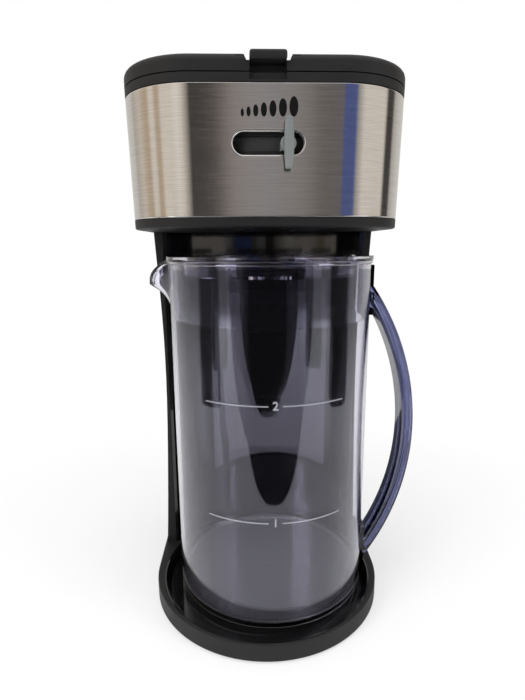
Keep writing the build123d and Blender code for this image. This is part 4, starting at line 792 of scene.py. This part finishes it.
class BREWER_OT_lever(bpy.types.Operator):
    """Strength lever: a slim blade in front of a round hub, on a stem from the ring"""
    bl_idname = "brewer.lever"
    bl_label = "Strength lever"

    def execute(self, context):
        size = context.scene.brewer_sizes
        inner = -size.lever_radius
        height = size.slot_height - 1 * mm
        end_narrowing, neck_narrowing, end_slope = 0.68, 0.9, 0.5 * mm
        blade = slab("lever", (-size.lever_half_width, inner - size.lever_thickness,
                               height - size.lever_half_height),
                     (size.lever_half_width, inner, height + size.lever_half_height))
        bpy.ops.mesh.subdivide(number_cuts=1)
        bpy.ops.mesh.subdivide(number_cuts=1)
        pick("verts", lambda spot: abs(spot.z - height) > size.lever_half_height * 0.9)
        scaled(end_narrowing, 1.0, 1.0, (0.0, inner, height))
        bpy.ops.transform.translate(value=(0.0, end_slope, 0.0))
        pick("verts", lambda spot: 0.4 < abs(spot.z - height) / size.lever_half_height < 0.6)
        scaled(neck_narrowing, 1.0, 1.0, (0.0, inner, height))
        done()
        edges_rounded(blade, 1.3 * mm, 4, 40.0)
        hub_depth = 2.4 * mm
        hub = cylinder("hub", (0.0, inner - 0.2 * mm, height), size.lever_hub, hub_depth,
                       (pi / 2, 0.0, 0.0), 64)
        pick("edges", lambda spot, way: abs(way.y) < 0.1 and spot.y < inner)
        round_picked(0.9 * mm, 5)
        done()
        edges_rounded(hub, 0.3 * mm, 2, 50.0)
        half_width, half_height = 2.3 * mm, 3 * mm
        stem = slab("stem", (-half_width, inner + 1 * mm, height - half_height),
                    (half_width, ring_front - 0.1 * mm, height + half_height))
        done()
        edges_rounded(stem, 0.5 * mm, 2, 50.0)
        lever = joined(blade, hub, stem)
        bpy.ops.object.mode_set(mode="EDIT")
        bpy.ops.mesh.select_all(action="SELECT")
        bpy.ops.transform.rotate(value=-lever_rest, orient_axis="Z", center_override=(0.0, 0.0, 0.0))
        done()
        dressed(lever, "selector", "lever_grey", "selector_lever")
        return {"FINISHED"}


class BREWER_OT_pitcher(bpy.types.Operator):
    """Pitcher: turned wall with a rolled rim, and a spout drawn out of it"""
    bl_idname = "brewer.pitcher"
    bl_label = "Pitcher"

    def execute(self, context):
        size = context.scene.brewer_sizes
        floor = jug_low[2] + size.jug_floor
        jug = turned("pitcher_body", self.profile(size, floor), jug_axis, 256, self.underside())
        self.draw_spout(size)
        jug.data.materials.append(finish_for("clear_violet"))
        jug.data.materials.append(frosted_plastic("pitcher_floor", 0.86, (0.74, 0.74, 0.8), 0.03))
        pick("faces", lambda spot, way: spot.z < floor + size.jug_corner)
        jug.active_material_index = 1
        bpy.ops.object.material_slot_assign()
        done()
        dressed(jug, "pitcher", "clear_violet", "pitcher_jug", smooth=40.0, keep=True)
        return {"FINISHED"}

    def profile(self, size, floor):
        """Radii and heights up the outside, over the rim, down the inside and along the floor to the axis."""
        foot, top = jug_low[2], jug_high[2]

        def outer(height):
            return size.jug_radius + size.jug_flare * (height - foot) / (top - foot)

        spout_step, wall_step = 2.2 * mm, 45 * mm
        rings = [top - step * spout_step for step in range(2, 22)]
        low_rings = [foot + step * wall_step for step in range(1, 5)]
        bead = size.jug_radius + size.jug_flare + size.jug_bead
        inside, corner = size.jug_wall, size.jug_corner
        profile = [(size.jug_radius - 1.2 * mm, foot), (size.jug_radius - 0.6 * mm, foot + 0.15 * mm),
                   (size.jug_radius - 0.15 * mm, foot + 0.6 * mm), (size.jug_radius, foot + 1.2 * mm)]
        profile += [(outer(z), z) for z in low_rings + rings[::-1]]
        profile += [(outer(top), top - 2.9 * mm), (bead - 0.5 * mm, top - 2.7 * mm),
                    (bead - 0.1 * mm, top - 2.3 * mm), (bead, top - 1.9 * mm), (bead, top - 0.9 * mm),
                    (bead - 0.15 * mm, top - 0.35 * mm), (bead - 0.6 * mm, top),
                    (outer(top) - inside + 0.5 * mm, top),
                    (outer(top) - inside + 0.1 * mm, top - 0.2 * mm), (outer(top) - inside, top - 0.7 * mm)]
        profile += [(outer(z) - inside, z) for z in rings + low_rings[::-1]]
        wall = size.jug_radius - inside
        for angle in range(90, -1, -15):
            turn = radians(angle)
            profile.append((wall - corner * (1 - sin(turn)), floor + corner * (1 - cos(turn))))
        return profile + [(50 * mm, floor), (25 * mm, floor), (2 * mm, floor), (1.6 * mm, floor + 0.5 * mm),
                          (0.9 * mm, floor + 0.7 * mm), (0.0, floor + 0.7 * mm)]

    def underside(self):
        """Radii and heights from the foot's ring inwards, under a slightly raised middle."""
        foot = jug_low[2]
        raised = foot + 0.7 * mm
        return [(66.5 * mm, foot), (65.5 * mm, raised), (30 * mm, raised), (0.0, raised)]

    def draw_spout(self, size):
        """Draws the wall's upper edge out and down; the mesh is stretched meanwhile, for a narrow spout."""
        stretch = 2.0
        wall = size.jug_radius - size.jug_wall
        bpy.ops.mesh.select_all(action="SELECT")
        scaled(1.0, stretch, 1.0, (*jug_axis, 0.0))
        pick("verts", lambda spot: spot.z > jug_high[2] - 3 * mm and spot.x < jug_axis[0] - wall
             and abs(spot.y) < 0.5 * mm)
        out, down = (-size.spout_reach, 0.0, 0.0), (0.0, 0.0, -size.spout_drop)
        for move, falloff in ((out, "SMOOTH"), (down, "SHARP")):
            bpy.ops.transform.translate(value=move, use_proportional_edit=True,
                                        proportional_edit_falloff=falloff,
                                        proportional_size=size.spout_half * stretch)
        bpy.ops.mesh.select_all(action="SELECT")
        scaled(1.0, 1 / stretch, 1.0, (*jug_axis, 0.0))


class BREWER_OT_levels(bpy.types.Operator):
    """Raised level lines on the pitcher, with the plain numbers 1 and 2"""
    bl_idname = "brewer.levels"
    bl_label = "Level lines"

    def execute(self, context):
        size = context.scene.brewer_sizes
        parts = []
        for height, numeral in ((size.level_high, "2"), (size.level_low, "1")):
            wall = size.jug_radius + size.jug_flare * (height - jug_low[2]) / (jug_high[2] - jug_low[2])
            parts += [self.line(size, height, wall, side) for side in (-1.0, 1.0)]
            parts.append(self.numeral(size, height, wall, numeral))
        lines = joined(*parts)
        lines.name = lines.data.name = "level_lines"
        dressed(lines, "pitcher", "clear_violet", "pitcher_marks",
                finish=frosted_plastic("level_lines", 0.45, (0.58, 0.58, 0.64)))
        return {"FINISHED"}

    def line(self, size, height, wall, side):
        """Raised line from beside the number round one side of the pitcher."""
        axis = jug_axis[0]
        from_middle, sweep = radians(3.6), radians(34.0)
        place = (axis, -wall - 0.15 * mm, height)
        bpy.ops.mesh.primitive_plane_add(size=1.0, location=place, rotation=(0.0, pi / 2, 0.0))
        line = start("line")
        scaled(1.0, size.level_line, size.level_line, place)
        centre = (axis, 0.0, height)
        bpy.ops.transform.rotate(value=side * from_middle, orient_axis="Z", center_override=centre)
        bpy.ops.mesh.spin(steps=24, angle=side * sweep, center=centre, axis=(0.0, 0.0, 1.0))
        closed_up()
        done()
        return line

    def numeral(self, size, height, wall, numeral):
        """Raised plain number between the two halves of a line."""
        type_size_per_height = 1.38
        bpy.ops.object.select_all(action="DESELECT")
        place = (jug_axis[0], -wall + 0.15 * mm, height)
        bpy.ops.object.text_add(location=place, rotation=(pi / 2, 0.0, 0.0))
        letter = bpy.context.object
        letter.data.body = numeral
        letter.data.size = size.numeral * type_size_per_height
        letter.data.align_x = letter.data.align_y = "CENTER"
        letter.data.extrude = 0.45 * mm
        letter.data.bevel_depth = 0.08 * mm
        bpy.ops.object.convert(target="MESH")
        bpy.ops.object.transform_apply(location=True, rotation=True, scale=True)
        return bpy.context.object


class BREWER_OT_carried(bpy.types.Operator):
    """Give every solid that stays as it is the finish of its material slot"""
    bl_idname = "brewer.carried"
    bl_label = "Finish the carried-over parts"

    def execute(self, context):
        slots = {part["node"]: part["material_slot"] for part in frame["record"]["subparts"]}
        for name, piece in frame["nodes"].items():
            finish = finish_for(slots[name])
            if not piece.material_slots:
                piece.data.materials.append(finish)
            for slot in piece.material_slots:
                slot.material = finish
        return {"FINISHED"}


# What shiny surfaces mirror: the colour against the angle from the front, in degrees, right side positive
pale, cream, tan, oat = (0.72, 0.7, 0.67), (0.88, 0.8, 0.71), (0.62, 0.5, 0.37), (0.86, 0.79, 0.72)
dusk, blue = (0.07, 0.063, 0.06), (0.1, 0.13, 0.33)
room_shades = (
    (-180.0, pale), (-125.0, pale), (-118.0, (0.58, 0.53, 0.48)), (-101.0, (0.76, 0.68, 0.58)),
    (-88.0, tan), (-82.0, tan), (-77.0, cream), (-70.0, cream), (-66.0, tan), (-60.0, tan),
    (-56.0, cream), (-40.0, cream), (-31.0, (0.98, 0.92, 0.85)), (-24.0, cream),
    (-15.0, (0.4, 0.37, 0.33)), (-10.0, dusk), (-2.9, dusk),
    (-2.4, (0.38, 0.32, 0.29)), (2.0, (0.36, 0.35, 0.36)), (7.0, (0.31, 0.28, 0.27)),
    (8.5, (0.17, 0.15, 0.13)), (11.0, (0.2, 0.17, 0.15)), (13.0, blue), (31.0, blue),
    (34.0, (0.4, 0.38, 0.35)), (45.0, oat), (84.0, oat), (90.0, dusk), (103.0, dusk),
    (109.0, (0.58, 0.54, 0.5)), (125.0, pale), (180.0, pale))
soft_light = (0.45, 0.45, 0.45)

# Lamps: name, place, width and height in metres, and power in watts
lamps = (("lamp_left", (-1.1, -0.9, 0.9), (0.7, 1.3), 17.0),
         ("lamp_right", (1.2, -0.7, 0.8), (0.5, 1.3), 10.0),
         ("lamp_top", (0.0, -0.2, 1.5), (1.0, 1.0), 10.0))
lamp_target = (0.0, 0.0, 0.2)

# Cards: name, angle from the front in degrees, then distance, width, foot and corner in metres, and strength
cards = (("card_left", -68.0, 0.44, 0.2, 0.05, 0.01, 0.12),
         ("card_wide", -1.0, 0.375, 0.72, 0.001, 0.27, 0.12),
         ("card_middle", 1.5, 0.27, 0.3, 0.001, 0.13, 0.025),
         ("card_right", 74.0, 0.44, 0.2, 0.05, 0.03, 0.06))
card_top = 0.28

# Camera: place in metres, pan, tilt down and roll in degrees, and focal length over the picture's height
camera_place = (-0.0151, -0.3841, 0.2839)
camera_pan, camera_tilt, camera_roll = -1.90, 11.79, -0.32
focal_share = 496.0 / 700.0


class BREWER_OT_studio(bpy.types.Operator):
    """Set up the floor, the soft lamps, the cards that the metal mirrors, and the camera"""
    bl_idname = "brewer.studio"
    bl_label = "Set up the studio"

    def floor(self):
        """Round floor that fades into the white behind it, and keeps the object's shadow."""
        bpy.ops.mesh.primitive_circle_add(vertices=96, radius=6.0, fill_type="NGON")
        floor = bpy.context.object
        floor.name = "studio_floor"
        finish = Finish("studio_floor", Base_Color=(0.86, 0.86, 0.86), Roughness=0.9, Specular_IOR_Level=0.1)
        reach = finish.node("VectorMath", {"operation": "LENGTH"}, {0: finish.place()}, "Value")
        share = finish.range(reach, 0.12, 0.42, 0.55, 1.0)
        finish.glow(finish.seen() * share, Wire(finish, finish.shader.outputs[0]), 1.0)
        floor.data.materials.append(finish.material)

    def surroundings(self):
        """White behind the object; what shiny surfaces mirror changes with the direction round the room."""
        world = bpy.data.worlds.new("studio")
        bpy.context.scene.world = world
        world.use_nodes = True
        room = Surroundings(world.node_tree)
        across, along, height = room.parts(room.node("TexCoord", output="Generated"))
        turn = room.sum("ARCTAN2", across, 0.0 - along)
        share = turn * (0.5 / pi) + 0.5
        stops = [((angle + 180.0) / 360.0, shade) for angle, shade in room_shades]
        walls = room.node("ValToRGB", {"stops": stops}, {0: share})
        mirrored = room.blend(room.range(height, 0.7, 0.85), walls, white)
        back = room.blend(room.seen(), room.blend(room.shiny(), soft_light, mirrored), white)
        room.feed(world.node_tree.nodes["Background"].inputs["Color"], back)

    def lamp(self, name, place, size, power):
        """Soft lamp turned to the object, which shiny surfaces don't mirror."""
        turn = (Vector(place) - Vector(lamp_target)).to_track_quat("Z", "Y").to_euler()
        bpy.ops.object.light_add(type="AREA", location=place, rotation=turn)
        lamp = bpy.context.object
        lamp.name = name
        lamp.data.shape = "RECTANGLE"
        lamp.data.size, lamp.data.size_y = size
        lamp.data.energy = power
        lamp.visible_glossy = False

    def card(self, name, angle, distance, width, low, corner, strength):
        """Upright card with a round foot, which only mirror-like surfaces see, turned to the object."""
        turn = radians(angle)
        place = (distance * sin(turn), -distance * cos(turn), (low + card_top) / 2)
        bpy.ops.mesh.primitive_plane_add(size=1.0, location=place, rotation=(pi / 2, 0.0, turn))
        bpy.context.object.scale = (width, card_top - low, 1.0)
        card = start(name)
        pick("verts", lambda spot: near(spot.z, low))
        bpy.ops.mesh.bevel(offset=corner, segments=16, affect="VERTICES")
        done()
        finish = Finish(name)
        finish.glow(finish.shiny(), finish.node("BsdfTransparent"), strength)
        card.data.materials.append(finish.material)
        card.visible_camera = card.visible_diffuse = card.visible_shadow = False

    def camera(self, context):
        """Camera at the photograph's angle and framing."""
        turn = (Matrix.Rotation(radians(camera_pan), 3, "Z")
                @ Matrix.Rotation(radians(90.0 - camera_tilt), 3, "X")
                @ Matrix.Rotation(radians(camera_roll), 3, "Z")).to_euler()
        bpy.ops.object.camera_add(location=camera_place, rotation=turn)
        camera = bpy.context.object
        camera.name = "photo_camera"
        camera.data.sensor_fit = "VERTICAL"
        camera.data.sensor_height = 36.0
        camera.data.lens = focal_share * camera.data.sensor_height
        camera.data.clip_start = 0.01
        context.scene.camera = camera

    def execute(self, context):
        self.floor()
        self.surroundings()
        for lamp in lamps:
            self.lamp(*lamp)
        for card in cards:
            self.card(*card)
        self.camera(context)
        context.scene.view_settings.view_transform = "Standard"
        return {"FINISHED"}


class BREWER_PT_panel(bpy.types.Panel):
    """Sidebar panel with the brewer's pieces, sizes and colours"""
    bl_label = "Brewer"
    bl_idname = "BREWER_PT_panel"
    bl_space_type = "VIEW_3D"
    bl_region_type = "UI"
    bl_category = "Brewer"

    def draw(self, context):
        column = self.layout.column(align=True)
        for operator in operators:
            column.operator(operator.bl_idname)
        for group in (context.scene.brewer_sizes, context.scene.brewer_colours):
            for name in type(group).__annotations__:
                self.layout.prop(group, name)


operators = (BREWER_OT_carried, BREWER_OT_steel, BREWER_OT_lid, BREWER_OT_ring, BREWER_OT_lever,
             BREWER_OT_pitcher, BREWER_OT_levels, BREWER_OT_studio)
registered = (BrewerSizes, BrewerColours, *operators, BREWER_PT_panel)


def register():
    for kind in registered:
        bpy.utils.register_class(kind)
    bpy.types.Scene.brewer_sizes = bpy.props.PointerProperty(type=BrewerSizes)
    bpy.types.Scene.brewer_colours = bpy.props.PointerProperty(type=BrewerColours)


def unregister():
    del bpy.types.Scene.brewer_sizes
    del bpy.types.Scene.brewer_colours
    for kind in reversed(registered):
        bpy.utils.unregister_class(kind)


def main():
    register()
    for operator in operators:
        family, name = operator.bl_idname.split(".")
        getattr(getattr(bpy.ops, family), name)()


if __name__ == "__main__":
    main()
